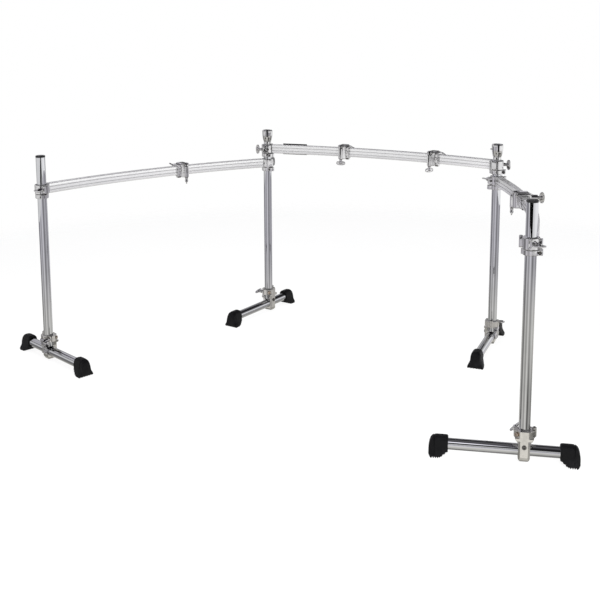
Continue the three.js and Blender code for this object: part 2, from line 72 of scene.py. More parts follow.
# ------------------------------------------------------------------ node helpers
class Nodes:
    """Short hand for a node tree: every call adds one node and returns its socket."""

    def __init__(self, tree):
        self.t = tree
        tree.nodes.clear()

    def node(self, kind, **props):
        n = self.t.nodes.new(kind)
        for k, v in props.items():
            setattr(n, k, v)
        return n

    def link(self, a, b):
        self.t.links.new(a, b)

    def put(self, socket, v):
        if isinstance(v, bpy.types.NodeSocket):
            self.link(v, socket)
        else:
            socket.default_value = v

    def math(self, op, a, b=0.0, c=0.0):
        n = self.node("ShaderNodeMath", operation=op)
        self.put(n.inputs[0], a)
        self.put(n.inputs[1], b)
        self.put(n.inputs[2], c)
        return n.outputs[0]

    def step(self, v, lo, hi, a=0.0, b=1.0):
        n = self.node("ShaderNodeMapRange", interpolation_type="SMOOTHSTEP")
        for s, x in zip(n.inputs[:5], (v, lo, hi, a, b)):
            self.put(s, x)
        return n.outputs[0]

    def lin(self, v, lo, hi, a=0.0, b=1.0):
        n = self.node("ShaderNodeMapRange")
        for s, x in zip(n.inputs[:5], (v, lo, hi, a, b)):
            self.put(s, x)
        return n.outputs[0]

    def noise(self, vec, scale, detail=4.0, rough=0.55, dist=0.0):
        n = self.node("ShaderNodeTexNoise")
        self.link(vec, n.inputs["Vector"])
        n.inputs["Scale"].default_value = scale
        n.inputs["Detail"].default_value = detail
        n.inputs["Roughness"].default_value = rough
        n.inputs["Distortion"].default_value = dist
        return n.outputs[0]

    def mix(self, f, a, b):
        n = self.node("ShaderNodeMix", data_type="RGBA")
        self.put(n.inputs[0], f)
        self.put(n.inputs[6], a)
        self.put(n.inputs[7], b)
        return n.outputs[2]

    def scaled(self, vec, s):
        n = self.node("ShaderNodeMapping")
        self.link(vec, n.inputs["Vector"])
        n.inputs["Scale"].default_value = s
        return n.outputs[0]

    def bump(self, h, strength, distance, normal=None):
        n = self.node("ShaderNodeBump")
        n.inputs["Strength"].default_value = strength
        n.inputs["Distance"].default_value = distance
        self.link(h, n.inputs["Height"])
        if normal is not None:
            self.link(normal, n.inputs["Normal"])
        return n.outputs[0]


def material(name):
    m = bpy.data.materials.new(name)
    m.use_nodes = True
    n = Nodes(m.node_tree)
    out = n.node("ShaderNodeOutputMaterial")
    p = n.node("ShaderNodeBsdfPrincipled")
    n.link(p.outputs[0], out.inputs[0])
    return m, n, p.inputs


def make_chrome():
    m, n, p = material("chrome_plate")
    obj = n.node("ShaderNodeTexCoord").outputs["Object"]
    p["Metallic"].default_value = 1.0
    haze = n.noise(obj, 9.0, 5.0, 0.6)
    fine = n.noise(n.scaled(obj, (900, 900, 60)), 1.0, 3.0, 0.6)
    n.put(p["Base Color"], n.mix(n.step(haze, 0.35, 0.7), (0.66, 0.665, 0.685, 1), (0.60, 0.605, 0.62, 1)))
    smudge = n.step(n.noise(obj, 28.0, 6.0, 0.65, 0.6), 0.52, 0.75, 0.0, 0.03)
    n.put(p["Roughness"], n.math("ADD", n.lin(fine, 0.3, 0.7, 0.015, 0.035), smudge))
    n.put(p["Normal"], n.bump(n.noise(obj, 60.0, 2.0, 0.4), 0.03, 0.0004))
    return m


def make_casting():
    m, n, p = material("plated_casting")
    obj = n.node("ShaderNodeTexCoord").outputs["Object"]
    p["Metallic"].default_value = 1.0
    wave = n.noise(obj, 45.0, 3.0, 0.5)
    grain = n.noise(obj, 700.0, 4.0, 0.6)
    n.put(p["Base Color"], n.mix(n.step(wave, 0.35, 0.7), (0.80, 0.785, 0.755, 1), (0.70, 0.685, 0.655, 1)))
    n.put(p["Roughness"], n.math("ADD", n.lin(wave, 0.3, 0.7, 0.15, 0.24), n.lin(grain, 0.3, 0.7, 0.0, 0.05)))
    first = n.bump(wave, 0.12, 0.0012)
    n.put(p["Normal"], n.bump(grain, 0.08, 0.0002, first))
    return m


def make_cast_chrome():
    m, n, p = material("chrome_casting")
    obj = n.node("ShaderNodeTexCoord").outputs["Object"]
    p["Metallic"].default_value = 1.0
    wave = n.noise(obj, 55.0, 3.0, 0.5)
    n.put(p["Base Color"], n.mix(n.step(wave, 0.35, 0.7), (0.71, 0.705, 0.71, 1), (0.63, 0.625, 0.63, 1)))
    n.put(p["Roughness"], n.lin(wave, 0.3, 0.7, 0.03, 0.08))
    n.put(p["Normal"], n.bump(wave, 0.10, 0.0012))
    return m


def make_rail(name="anodised_rail", tone=1.0):
    m, n, p = material(name)
    obj = n.node("ShaderNodeTexCoord").outputs["Object"]
    p["Metallic"].default_value = 0.84
    # extrusion lines run along the rail, so the grain varies mostly with height
    lines = n.noise(n.scaled(obj, (3, 3, 700)), 1.0, 2.0, 0.5)
    cloud = n.noise(obj, 5.0, 4.0, 0.6)
    # tone below 1 gives a darker copy of the rail colour; the flute copy (0.70) is painted shade for the flutes
    n.put(p["Base Color"], n.mix(n.step(cloud, 0.35, 0.7), (0.93 * tone, 0.93 * tone, 0.93 * tone, 1), (0.87 * tone, 0.87 * tone, 0.875 * tone, 1)))
    n.put(p["Roughness"], n.lin(lines, 0.3, 0.7, 0.17, 0.23))
    n.put(p["Normal"], n.bump(lines, 0.02, 0.0002))
    return m


def make_groove_shade():
    m, n, p = material("rail_groove_painted_shade")
    obj = n.node("ShaderNodeTexCoord").outputs["Object"]
    p["Metallic"].default_value = 0.6
    # painted shade: the groove faces get a colour much darker than the rail's, standing in for the shade inside the
    # grooves; this noise only mottles that dark colour at random
    shade_mottle = n.noise(obj, 60.0, 5.0, 0.6)
    n.put(p["Base Color"], n.mix(shade_mottle, (0.62, 0.62, 0.625, 1), (0.74, 0.74, 0.745, 1)))
    n.put(p["Roughness"], n.lin(shade_mottle, 0.3, 0.7, 0.26, 0.36))
    n.put(p["Normal"], n.bump(shade_mottle, 0.1, 0.0001))
    return m


def make_rubber():
    m, n, p = material("moulded_rubber")
    obj = n.node("ShaderNodeTexCoord").outputs["Object"]
    grain = n.noise(obj, 900.0, 3.0, 0.6)
    dust = n.noise(obj, 30.0, 5.0, 0.65)
    n.put(p["Base Color"], n.mix(n.step(dust, 0.45, 0.8), (0.0035, 0.0035, 0.004, 1), (0.009, 0.009, 0.010, 1)))
    n.put(p["Roughness"], n.math("ADD", n.lin(dust, 0.3, 0.7, 0.42, 0.55), n.lin(grain, 0.3, 0.7, 0.0, 0.08)))
    p["Specular IOR Level"].default_value = 0.22
    n.put(p["Normal"], n.bump(grain, 0.25, 0.0003))
    return m


def make_plastic():
    m, n, p = material("black_plastic")
    obj = n.node("ShaderNodeTexCoord").outputs["Object"]
    grain = n.noise(obj, 1200.0, 3.0, 0.6)
    soft = n.noise(obj, 40.0, 4.0, 0.6)
    n.put(p["Base Color"], n.mix(soft, (0.008, 0.008, 0.008, 1), (0.014, 0.014, 0.015, 1)))
    n.put(p["Roughness"], n.lin(soft, 0.3, 0.7, 0.28, 0.40))
    n.put(p["Normal"], n.bump(grain, 0.15, 0.00015))
    return m


def make_plate():
    m, n, p = material("dark_plate")
    obj = n.node("ShaderNodeTexCoord").outputs["Object"]
    brush = n.noise(n.scaled(obj, (6, 6, 1800)), 1.0, 3.0, 0.6)
    p["Metallic"].default_value = 0.6
    n.put(p["Base Color"], n.mix(brush, (0.018, 0.018, 0.019, 1), (0.035, 0.035, 0.037, 1)))
    n.put(p["Roughness"], n.lin(brush, 0.3, 0.7, 0.30, 0.44))
    n.put(p["Normal"], n.bump(brush, 0.1, 0.0001))
    return m


def make_steel():
    m, n, p = material("dark_steel")
    obj = n.node("ShaderNodeTexCoord").outputs["Object"]
    p["Metallic"].default_value = 1.0
    wear = n.noise(obj, 300.0, 4.0, 0.6)
    n.put(p["Base Color"], n.mix(wear, (0.13, 0.125, 0.12, 1), (0.22, 0.212, 0.205, 1)))
    n.put(p["Roughness"], n.lin(wear, 0.3, 0.7, 0.22, 0.36))
    n.put(p["Normal"], n.bump(wear, 0.1, 0.0002))
    return m


def make_bronze():
    m, n, p = material("passivated_rivet")
    obj = n.node("ShaderNodeTexCoord").outputs["Object"]
    p["Metallic"].default_value = 1.0
    wear = n.noise(obj, 260.0, 4.0, 0.6)
    n.put(p["Base Color"], n.mix(wear, (0.56, 0.45, 0.36, 1), (0.72, 0.62, 0.52, 1)))
    n.put(p["Roughness"], n.lin(wear, 0.3, 0.7, 0.20, 0.34))
    n.put(p["Normal"], n.bump(wear, 0.1, 0.0002))
    return m


CHROME, CASTING, CAST_CHROME, BRONZE = make_chrome(), make_casting(), make_cast_chrome(), make_bronze()
RAIL, RUBBER, PLASTIC, PLATE, STEEL = make_rail(), make_rubber(), make_plastic(), make_plate(), make_steel()
# darker copies of the rail colour for the groove and flute faces: painted shade in the recesses
GROOVE_SHADE, FLUTE_SHADE = make_groove_shade(), make_rail("rail_flute_painted_shade", 0.70)


# ------------------------------------------------------------------ mesh helpers (mm)
def solid(verts, faces):
    me = bpy.data.meshes.new("work")
    bm = bmesh.new()
    vs = [bm.verts.new(v) for v in verts]
    for f in faces:
        bm.faces.new([vs[i] for i in f])
    bmesh.ops.remove_doubles(bm, verts=bm.verts, dist=1e-5)
    bmesh.ops.recalc_face_normals(bm, faces=bm.faces)
    bm.to_mesh(me)
    bm.free()
    o = bpy.data.objects.new("work", me)
    SCENE.collection.objects.link(o)
    return o


def drop(o):
    me = o.data
    bpy.data.objects.remove(o)
    if me.users == 0:
        bpy.data.meshes.remove(me)


def apply(o):
    dg = bpy.context.evaluated_depsgraph_get()
    me = bpy.data.meshes.new_from_object(o.evaluated_get(dg))
    o.modifiers.clear()
    old, o.data = o.data, me
    bpy.data.meshes.remove(old)
    return o


def boolean(a, b, op="UNION"):
    m = a.modifiers.new("b", "BOOLEAN")
    m.operation, m.object = op, b
    try:
        m.solver = "MANIFOLD"
    except TypeError:
        m.solver = "EXACT"
    apply(a)
    drop(b)
    return a


def prism(points, lo, hi, axis="z"):
    n = len(points)
    place = {"z": lambda u, v, w: (u, v, w), "y": lambda u, v, w: (u, w, v), "x": lambda u, v, w: (w, u, v)}[axis]
    verts = [place(u, v, lo) for u, v in points] + [place(u, v, hi) for u, v in points]
    faces = [list(range(n)), list(range(n, 2 * n))] + [[i, (i + 1) % n, n + (i + 1) % n, n + i] for i in range(n)]
    return solid(verts, faces)


def rpoly(points, r, n=5):
    """The polygon with each corner rounded; r is one radius or one for each corner."""
    out, k = [], len(points)
    for i, p in enumerate(points):
        rr = r[i] if isinstance(r, (list, tuple)) else r
        p, a, b = Vector(p), Vector(points[i - 1]), Vector(points[(i + 1) % k])
        if rr <= 0:
            out.append(tuple(p))
            continue
        u, v = (a - p).normalized(), (b - p).normalized()
        ang = math.acos(max(-1, min(1, u.dot(v))))
        d = min(rr / math.tan(ang / 2), (a - p).length * 0.49, (b - p).length * 0.49)
        rr = d * math.tan(ang / 2)
        c = p + (u + v).normalized() * (rr / math.sin(ang / 2))
        s, e = p + u * d - c, p + v * d - c
        a0 = math.atan2(s.y, s.x)
        da = math.atan2(e.y, e.x) - a0
        da = (da + math.pi) % (2 * math.pi) - math.pi
        out += [(c.x + rr * math.cos(a0 + da * j / n), c.y + rr * math.sin(a0 + da * j / n)) for j in range(n + 1)]
    return out


def lathe(profile, seg=72, axis="z", at=(0, 0, 0)):
    """Turned solid; profile points are (radius, height) and start and end on the axis, or close on themselves."""
    rings, verts = [], []
    for r, z in profile:
        if r < 1e-6:
            rings.append([len(verts)] * seg)
            verts.append((0, 0, z))
        else:
            rings.append(list(range(len(verts), len(verts) + seg)))
            verts += [(r * math.cos(2 * math.pi * i / seg), r * math.sin(2 * math.pi * i / seg), z) for i in range(seg)]
    faces = []
    closed = profile[0][0] > 1e-6
    pairs = list(zip(rings, rings[1:])) + ([(rings[-1], rings[0])] if closed else [])
    for a, b in pairs:
        for i in range(seg):
            j = (i + 1) % seg
            f = [a[i], a[j], b[j], b[i]]
            f = [v for k, v in enumerate(f) if v not in f[:k]]
            if len(f) > 2:
                faces.append(f)
    turn = {"z": lambda p: p, "x": lambda p: (p[2], p[0], p[1]), "y": lambda p: (p[1], p[2], p[0])}[axis]
    verts = [tuple(c + o for c, o in zip(turn(v), at)) for v in verts]
    return solid(verts, faces)


def cyl(r, lo, hi, axis="z", at=(0, 0, 0), seg=56, r2=None):
    return lathe([(0, lo), (r, lo), (r if r2 is None else r2, hi), (0, hi)], seg, axis, at)


def block(x0, x1, y0, y1, z0, z1, r=0):
    pts = [(x0, y0), (x1, y0), (x1, y1), (x0, y1)]
    return prism(rpoly(pts, r) if r else pts, z0, z1)


def union(parts):
    base = parts[0]
    for o in parts[1:]:
        boolean(base, o)
    return base


def finish_mesh(o, name, mat, smooth_angle=None):
    """To metres, named, shaded smooth, one material."""
    me = o.data
    me.transform(Matrix.Scale(MM, 4))
    me.name = name
    me.materials.clear()
    me.materials.append(mat)
    if smooth_angle is None:
        me.shade_smooth()
    else:
        me.shade_smooth()
        bm = bmesh.new()
        bm.from_mesh(me)
        lim = math.radians(smooth_angle)
        for e in bm.edges:
            e.smooth = len(e.link_faces) == 2 and e.calc_face_angle(0) < lim
        bm.to_mesh(me)
        bm.free()
    bpy.data.objects.remove(o)
    return me


def cast(name, adds, cuts, mat, voxel=0.8, smooth=4, flat=1.6):
    """A moulded or die-cast solid: joined, cut, then its edges are worn round."""
    o = union(adds)
    for c in cuts:
        boolean(o, c, "DIFFERENCE")
    m = o.modifiers.new("r", "REMESH")
    m.mode, m.voxel_size, m.adaptivity, m.use_smooth_shade = "VOXEL", voxel, 0.0, True
    if smooth:
        s = o.modifiers.new("s", "SMOOTH")
        s.factor, s.iterations = 0.5, smooth
    apply(o)
    bm = bmesh.new()
    bm.from_mesh(o.data)
    bmesh.ops.dissolve_limit(bm, angle_limit=math.radians(flat), verts=bm.verts, edges=bm.edges)
    bmesh.ops.triangulate(bm, faces=[f for f in bm.faces if len(f.verts) > 4])
    # loose bits left by the remesh
    seen, keep = set(), []
    for v in bm.verts:
        if v in seen:
            continue
        stack, group = [v], []
        seen.add(v)
        while stack:
            a = stack.pop()
            group.append(a)
            for e in a.link_edges:
                b = e.other_vert(a)
                if b not in seen:
                    seen.add(b)
                    stack.append(b)
        keep.append(group)
    keep.sort(key=len)
    for group in keep[:-1]:
        bmesh.ops.delete(bm, geom=group, context="VERTS")
    bm.to_mesh(o.data)
    bm.free()
    o.data.shade_smooth()
    w = o.modifiers.new("w", "WEIGHTED_NORMAL")
    w.mode, w.weight, w.keep_sharp = "FACE_AREA", 60, True
    apply(o)
    me = o.data
    me.transform(Matrix.Scale(MM, 4))
    me.name = name
    me.materials.clear()
    me.materials.append(mat)
    bpy.data.objects.remove(o)
    return me


def put(name, me, body, matrix, nodes=()):
    """Places a mesh that is already in metres; matrix is in mm."""
    o = bpy.data.objects.new(name, me)
    SCENE.collection.objects.link(o)
    mw = matrix.copy()
    mw.translation = mw.translation * MM
    o.matrix_world = mw
    bpy.context.view_layer.update()
    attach(o, body)
    if nodes:
        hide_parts(*nodes)
    return o


def at(x, y, z=0.0, turn=0.0):
    return Matrix.Translation((x, y, z)) @ Matrix.Rotation(turn, 4, "Z")


# ------------------------------------------------------------------ camera
CAM = bpy.data.cameras.new("camera")
CAM.sensor_width = 36.0
CAM.lens = 972.4 / 600 * 36
CAM.shift_x, CAM.shift_y = -0.0108, -0.2293
CAM.clip_start, CAM.clip_end = 0.05, 100
cam = bpy.data.objects.new("camera", CAM)
SCENE.collection.objects.link(cam)
cam.location = (1.7121, -3.5701, 1.480)
cam.rotation_mode = "XYZ"
_h, _p = math.radians(26.17), math.radians(9.154)
cam.matrix_world = (
    Matrix.Translation(cam.location) @ Matrix.Rotation(_h, 4, "Z") @ Matrix.Rotation(math.pi / 2 - _p, 4, "X")
    @ Matrix.Rotation(math.radians(-0.088), 4, "Z")
)
SCENE.camera = cam
SCENE.view_settings.view_transform = "Standard"
SCENE.view_settings.look = "None"


# ------------------------------------------------------------------ studio
def studio():
    """White floor, a dark room with a pale backdrop behind the rack, and soft lights overhead."""
    w = bpy.data.worlds.new("studio")
    SCENE.world = w
    w.use_nodes = True
    n = Nodes(w.node_tree)
    out = n.node("ShaderNodeOutputWorld")
    sep = n.node("ShaderNodeSeparateXYZ")
    n.link(n.node("ShaderNodeTexCoord").outputs["Generated"], sep.inputs[0])
    x, y, z = sep.outputs
    elev = n.math("MULTIPLY", n.math("ARCSINE", z), 57.29578)
    az = n.math("MULTIPLY", n.math("ARCTAN2", y, x), 57.29578)
    # heading from the front of the rack, positive to the right as seen from there
    rel = n.math("WRAP", n.math("ADD", az, 63.83), 180.0, -180.0)

    def hump(v, centre, width):
        q = n.math("DIVIDE", n.math("SUBTRACT", v, centre), width)
        return n.math("POWER", 2.71828, n.math("MULTIPLY", n.math("MULTIPLY", q, q), -1.0))

    def total(*terms):
        s = terms[0]
        for t in terms[1:]:
            s = n.math("ADD", s, t)
        return s

    def times(a, b):
        return n.math("MULTIPLY", a, b)

    # below the horizon: grey studio floor with soft bands that change with the heading
    low = total(
        0.33,
        times(hump(rel, -12, 15), 0.34), times(hump(rel, -70, 11), 0.26), times(hump(rel, 28, 8), -0.20),
        times(hump(rel, -104, 16), -0.17), times(hump(rel, 70, 16), 0.14), times(hump(rel, 100, 12), -0.08), times(hump(rel, 145, 18), 0.22),
        times(hump(rel, -150, 12), 0.22), times(hump(rel, -180, 15), -0.12), times(hump(rel, 180, 15), -0.12),
    )
    near = times(n.step(elev, -14.5, -17.5), n.step(rel, 5, 30))
    near = times(near, n.step(rel, 150, 120))
    deep = times(times(n.step(elev, -18.5, -23.0), n.step(rel, 6, 24)), n.step(rel, 150, 120))
    low = total(low, times(near, 0.16), times(deep, -0.25))
    low = times(low, n.lin(elev, -85, -25, 0.5, 1.0))
    # above the horizon: pale backdrop behind on the left, dark room in front and on the right, one long soft box
    left_back = times(n.step(rel, -75, -110), n.step(elev, 60, 15))
    right_back = times(n.step(rel, 150, 172), n.step(elev, 48, 18))
    glow = times(n.step(elev, 20, 3), 0.26)
    ceiling = times(n.step(elev, 60, 80), 0.08)
    box = times(times(n.step(rel, -6, -12), n.step(rel, -100, -80)), hump(elev, 52, 7))
    stripe = times(times(n.step(rel, 60, 90), n.step(rel, 150, 130)), hump(elev, 24, 5))
    high = total(0.015, times(left_back, 0.62), times(right_back, 0.32), glow, ceiling, times(box, 1.5), times(stripe, 0.14))
    f = n.step(elev, -3.0, 3.0)
    v = total(times(low, n.math("SUBTRACT", 1.0, f)), times(high, f))
    v = times(v, 1.32)
    # cool far off, warm close by
    warm = n.step(elev, -13, -19)
    comb = n.node("ShaderNodeCombineColor")
    n.put(comb.inputs[0], times(v, n.lin(warm, 0, 1, 0.985, 1.02)))
    n.put(comb.inputs[1], times(v, n.lin(warm, 0, 1, 0.965, 1.005)))
    n.put(comb.inputs[2], times(v, n.lin(warm, 0, 1, 1.03, 0.95)))
    bg = n.node("ShaderNodeBackground")
    n.link(comb.outputs[0], bg.inputs[0])
    bg.inputs[1].default_value = 1.0
    white = n.node("ShaderNodeBackground")
    white.inputs[0].default_value = (1, 1, 1, 1)
    lp = n.node("ShaderNodeLightPath")
    mx = n.node("ShaderNodeMixShader")
    n.link(lp.outputs["Is Camera Ray"], mx.inputs[0])
    n.link(bg.outputs[0], mx.inputs[1])
    n.link(white.outputs[0], mx.inputs[2])
    n.link(mx.outputs[0], out.inputs[0])

    # floor: a round white sheet that fades out at its rim
    me = bpy.data.meshes.new("floor")
    bm = bmesh.new()
    bmesh.ops.create_circle(bm, cap_ends=True, cap_tris=False, segments=128, radius=3.45)
    bm.to_mesh(me)
    bm.free()
    floor = bpy.data.objects.new("floor", me)
    SCENE.collection.objects.link(floor)
    floor.location = (0, 0, -0.0004)
    floor.visible_glossy = False
    m = bpy.data.materials.new("white_floor")
    m.use_nodes = True
    n = Nodes(m.node_tree)
    out = n.node("ShaderNodeOutputMaterial")
    dif = n.node("ShaderNodeBsdfDiffuse")
    dif.inputs[0].default_value = (0.92, 0.92, 0.92, 1)
    emi = n.node("ShaderNodeEmission")
    emi.inputs[0].default_value = (1.09, 1.09, 1.09, 1)
    mx = n.node("ShaderNodeMixShader")
    mx.inputs[0].default_value = 0.17
    n.link(emi.outputs[0], mx.inputs[1])
    n.link(dif.outputs[0], mx.inputs[2])
    ln = n.node("ShaderNodeVectorMath", operation="LENGTH")
    n.link(n.node("ShaderNodeTexCoord").outputs["Object"], ln.inputs[0])
    clear = n.node("ShaderNodeBsdfTransparent")
    rim = n.node("ShaderNodeMixShader")
    n.put(rim.inputs[0], n.step(ln.outputs["Value"], 3.4, 2.7))
    n.link(clear.outputs[0], rim.inputs[1])
    n.link(mx.outputs[0], rim.inputs[2])
    n.link(rim.outputs[0], out.inputs[0])
    me.materials.append(m)

    # low white wall of the tent all round, seen only as a reflection
    m = bpy.data.materials.new("tent_wall")
    m.use_nodes = True
    n = Nodes(m.node_tree)
    out = n.node("ShaderNodeOutputMaterial")
    sep = n.node("ShaderNodeSeparateXYZ")
    n.link(n.node("ShaderNodeTexCoord").outputs["Object"], sep.inputs[0])
    az = n.math("MULTIPLY", n.math("ARCTAN2", sep.outputs[1], sep.outputs[0]), 57.29578)
    rel = n.math("WRAP", n.math("ADD", az, 63.83), 180.0, -180.0)
    lit = n.node("ShaderNodeEmission")
    tone = n.math("ADD", n.step(rel, -112, -88, 0.55, 0.90), n.step(rel, 30, 55, 0.0, 0.25))
    tone = n.math("SUBTRACT", tone, n.step(rel, 118, 150, 0.0, 0.55))
    n.put(lit.inputs["Strength"], n.math("MULTIPLY", tone, n.step(sep.outputs[2], 0.40, 1.45, 1.0, 0.32)))
    n.link(lit.outputs[0], out.inputs[0])
    rings = [[(3.96 * math.cos(math.radians(5 * i)), 3.96 * math.sin(math.radians(5 * i)), h) for i in range(72)] for h in (-0.01, 1.45)]
    me = bpy.data.meshes.new("tent_wall")
    me.from_pydata(rings[0] + rings[1], [], [[i, (i + 1) % 72, 72 + (i + 1) % 72, 72 + i] for i in range(72)])
    me.materials.append(m)
    wall = bpy.data.objects.new("tent_wall", me)
    SCENE.collection.objects.link(wall)
    wall.visible_camera = wall.visible_diffuse = wall.visible_shadow = wall.visible_transmission = False

    # two black flags in front of the rack, seen only as reflections
    m = bpy.data.materials.new("black_flag")
    m.use_nodes = True
    n = Nodes(m.node_tree)
    out = n.node("ShaderNodeOutputMaterial")
    dark = n.node("ShaderNodeEmission")
    dark.inputs[0].default_value = (0.003, 0.003, 0.003, 1)
    clear = n.node("ShaderNodeBsdfTransparent")
    mx = n.node("ShaderNodeMixShader")
    n.link(n.node("ShaderNodeNewGeometry").outputs["Backfacing"], mx.inputs[0])
    n.link(dark.outputs[0], mx.inputs[1])
    n.link(clear.outputs[0], mx.inputs[2])
    n.link(mx.outputs[0], out.inputs[0])
    px, py, toward = 1.0257, -0.5571, -77.2  # right post, and the heading from it to the camera

    def spot(off, h):
        a = math.radians(toward + off)
        return (px + 2.9 * math.cos(a), py + 2.9 * math.sin(a), h)

    for k, cards in enumerate((
        [(-47, 0.25, 0.34), (-38, 0.17, 0.34), (-22, 0.13, 0.34), (-9, 0.09, 0.34), (-6, 0.06, 0.34), (10, 0.055, 0.34), (20, 0.055, 0.34), (30, 0.06, 0.34), (39, 0.075, 0.34)],
        [(29, 0.0, 0.09), (36, 0.0, 0.09), (46, 0.005, 0.09), (57, 0.01, 0.09), (67, 0.015, 0.085)],
    )):
        me = bpy.data.meshes.new("flag")
        me.from_pydata([spot(o, lo) for o, lo, hi in cards] + [spot(o, hi) for o, lo, hi in cards], [],
                       [[i, i + 1, len(cards) + i + 1, len(cards) + i] for i in range(len(cards) - 1)])
        me.materials.append(m)
        card = bpy.data.objects.new(f"flag_{k}", me)
        SCENE.collection.objects.link(card)
        if me.polygons[0].normal.dot(Vector((px, py, 0.4)) - Vector(me.vertices[0].co)) < 0:
            me.flip_normals()
        card.visible_camera = card.visible_diffuse = card.visible_shadow = card.visible_transmission = False

    # soft light from above and from over the right shoulder
    for name, size, power, place, aim in (
        ("overhead", 3.0, 60, (0.0, -0.4, 3.1), (0, -0.2, 0)),
        ("shoulder", 2.2, 150, (2.4, -2.9, 1.9), (0, 0, 0.6)),
    ):
        a = bpy.data.lights.new(name, "AREA")
        a.shape, a.size, a.energy = "SQUARE", size, power
        k = bpy.data.objects.new(name, a)
        SCENE.collection.objects.link(k)
        k.location = place
        k.rotation_euler = (Vector(aim) - k.location).to_track_quat("-Z", "Y").to_euler()
        k.visible_glossy = False


studio()


# ------------------------------------------------------------------ rails
def arc_of(a, b):
    dx, dy = b[0] - a[0], b[1] - a[1]
    L = math.hypot(dx, dy)
    ex, ey = dx / L, dy / L
    nx, ny = -ey, ex
    R = (L * L / 4 + RAIL_SAG**2) / (2 * RAIL_SAG)
    cx, cy = (a[0] + b[0]) / 2 - nx * (R - RAIL_SAG), (a[1] + b[1]) / 2 - ny * (R - RAIL_SAG)
    a0, a1 = math.atan2(a[1] - cy, a[0] - cx), math.atan2(b[1] - cy, b[0] - cx)
    s = (a1 - a0 + math.pi) % (2 * math.pi) - math.pi
    return dict(cx=cx, cy=cy, R=R, a0=a0, s=s)


def on_arc(A, t, off=0.0):
    a = A["a0"] + A["s"] * t
    return A["cx"] + (A["R"] + off) * math.cos(a), A["cy"] + (A["R"] + off) * math.sin(a)


def heading(A, t):
    return A["a0"] + A["s"] * t - math.pi / 2


ARCS = {
    "left": dict(arc_of(POSTS["left"], POSTS["rear_left"]), z=SIDE_Z, body="left_wing"),
    "front": dict(arc_of(POSTS["rear_left"], POSTS["rear_right"]), z=FRONT_Z, body="front_frame"),
    "right": dict(arc_of(POSTS["rear_right"], POSTS["right"]), z=SIDE_Z, body="right_wing"),
}


def rail_section():
    """Outer outline (across, up): softened corners, two flutes on each broad face, and two darker ones on the top and
    the bottom; rail_mesh colours all these flutes darker than the rail, as painted shade.
    """
    hw, hh, c = RAIL_T / 2, RAIL_H / 2, 2.0
    corner = [(hw - c + c * math.sin(math.radians(a)), -hh + c - c * math.cos(math.radians(a))) for a in range(0, 91, 15)]
    low = []
    for u in (5.6,):
        low += [(u - 1.5, -hh), (u - 1.1, -hh + 1.5), (u + 1.1, -hh + 1.5), (u + 1.5, -hh)]
    side = []
    for z in (-7.0, 7.0):
        side += [(hw, z - 1.7), (hw - 1.5, z - 1.1), (hw - 1.5, z + 1.1), (hw, z + 1.7)]
    right = low + corner + side + [(p[0], -p[1]) for p in reversed(low + corner)]
    return right + [(-p[0], -p[1]) for p in right]


def rail_mesh(name, A):
    outer = rail_section()
    hw, hh = RAIL_T / 2 - RAIL_WALL, RAIL_H / 2 - RAIL_WALL
    inner = rpoly([(-hw, -hh), (hw, -hh), (hw, hh), (-hw, hh)], 1.0, 4)
    cut = RAIL_START / (A["R"] * abs(A["s"]))
    steps = 120
    verts, faces = [], []
    loops = []
    for i in range(steps + 1):
        t = cut + (1 - 2 * cut) * i / steps
        for sec in (outer, inner):
            loops.append(range(len(verts), len(verts) + len(sec)))
            for u, v in sec:
                x, y = on_arc(A, t, u)
                verts.append((x, y, A["z"] + v))
    for k in (0, 1):
        for i in range(steps):
            a, b = loops[2 * i + k], loops[2 * i + 2 + k]
            m = len(a)
            faces += [[a[j], a[(j + 1) % m], b[(j + 1) % m], b[j]] for j in range(m)]
    o = solid(verts, faces)
    # end rings between the outer and the inner outline
    bm = bmesh.new()
    bm.from_mesh(o.data)
    edges = [e for e in bm.edges if len(e.link_faces) == 1]
    mid = A["a0"] + A["s"] / 2
    for end in (0, 1):
        t = cut if end == 0 else 1 - cut
        px, py = on_arc(A, t)
        near = [e for e in edges if math.hypot((e.verts[0].co.x - px), (e.verts[0].co.y - py)) < 60]
        bmesh.ops.bridge_loops(bm, edges=near)
    bmesh.ops.recalc_face_normals(bm, faces=bm.faces)
    bm.to_mesh(o.data)
    bm.free()
    me = finish_mesh(o, name, RAIL, 24)
    # slots 1 and 2: the top and bottom grooves and the side flutes get darker copies of the rail colour, painted shade
    # in the recesses
    me.materials.append(GROOVE_SHADE)
    me.materials.append(FLUTE_SHADE)
    m = len(outer)
    inset = [abs(abs(outer[j][1]) - (RAIL_H / 2 - 1.5)) < 0.01 and abs(outer[j][0]) < RAIL_T / 2 - 2.5 for j in range(m)]
    flute = [abs(abs(outer[j][0]) - (RAIL_T / 2 - 1.5)) < 0.01 and abs(outer[j][1]) < 9 for j in range(m)]
    for k, f in enumerate(me.polygons):
        if k < steps * m and (inset[k % m] or inset[(k + 1) % m]):
            f.material_index = 1
        elif k < steps * m and (flute[k % m] or flute[(k + 1) % m]):
            f.material_index = 2
    return me


for name, A in ARCS.items():
    put(f"rail_{name}_extrusion", rail_mesh(f"rail_{name}", A), A["body"], Matrix.Identity(4), [f"rail_{name}"])


# ------------------------------------------------------------------ round tubes
def tube_mesh(name, lo, hi, mat):
    c = 0.5
    prof = [(POST_RI, lo + c), (POST_RI + c, lo), (POST_R - c, lo), (POST_R, lo + c)]
    n = 12
    prof += [(POST_R, lo + c + (hi - lo - 2 * c) * i / n) for i in range(1, n)]
    prof += [(POST_R, hi - c), (POST_R - c, hi), (POST_RI + c, hi), (POST_RI, hi - c)]
    return finish_mesh(lathe(prof, 96), name, mat, 40)


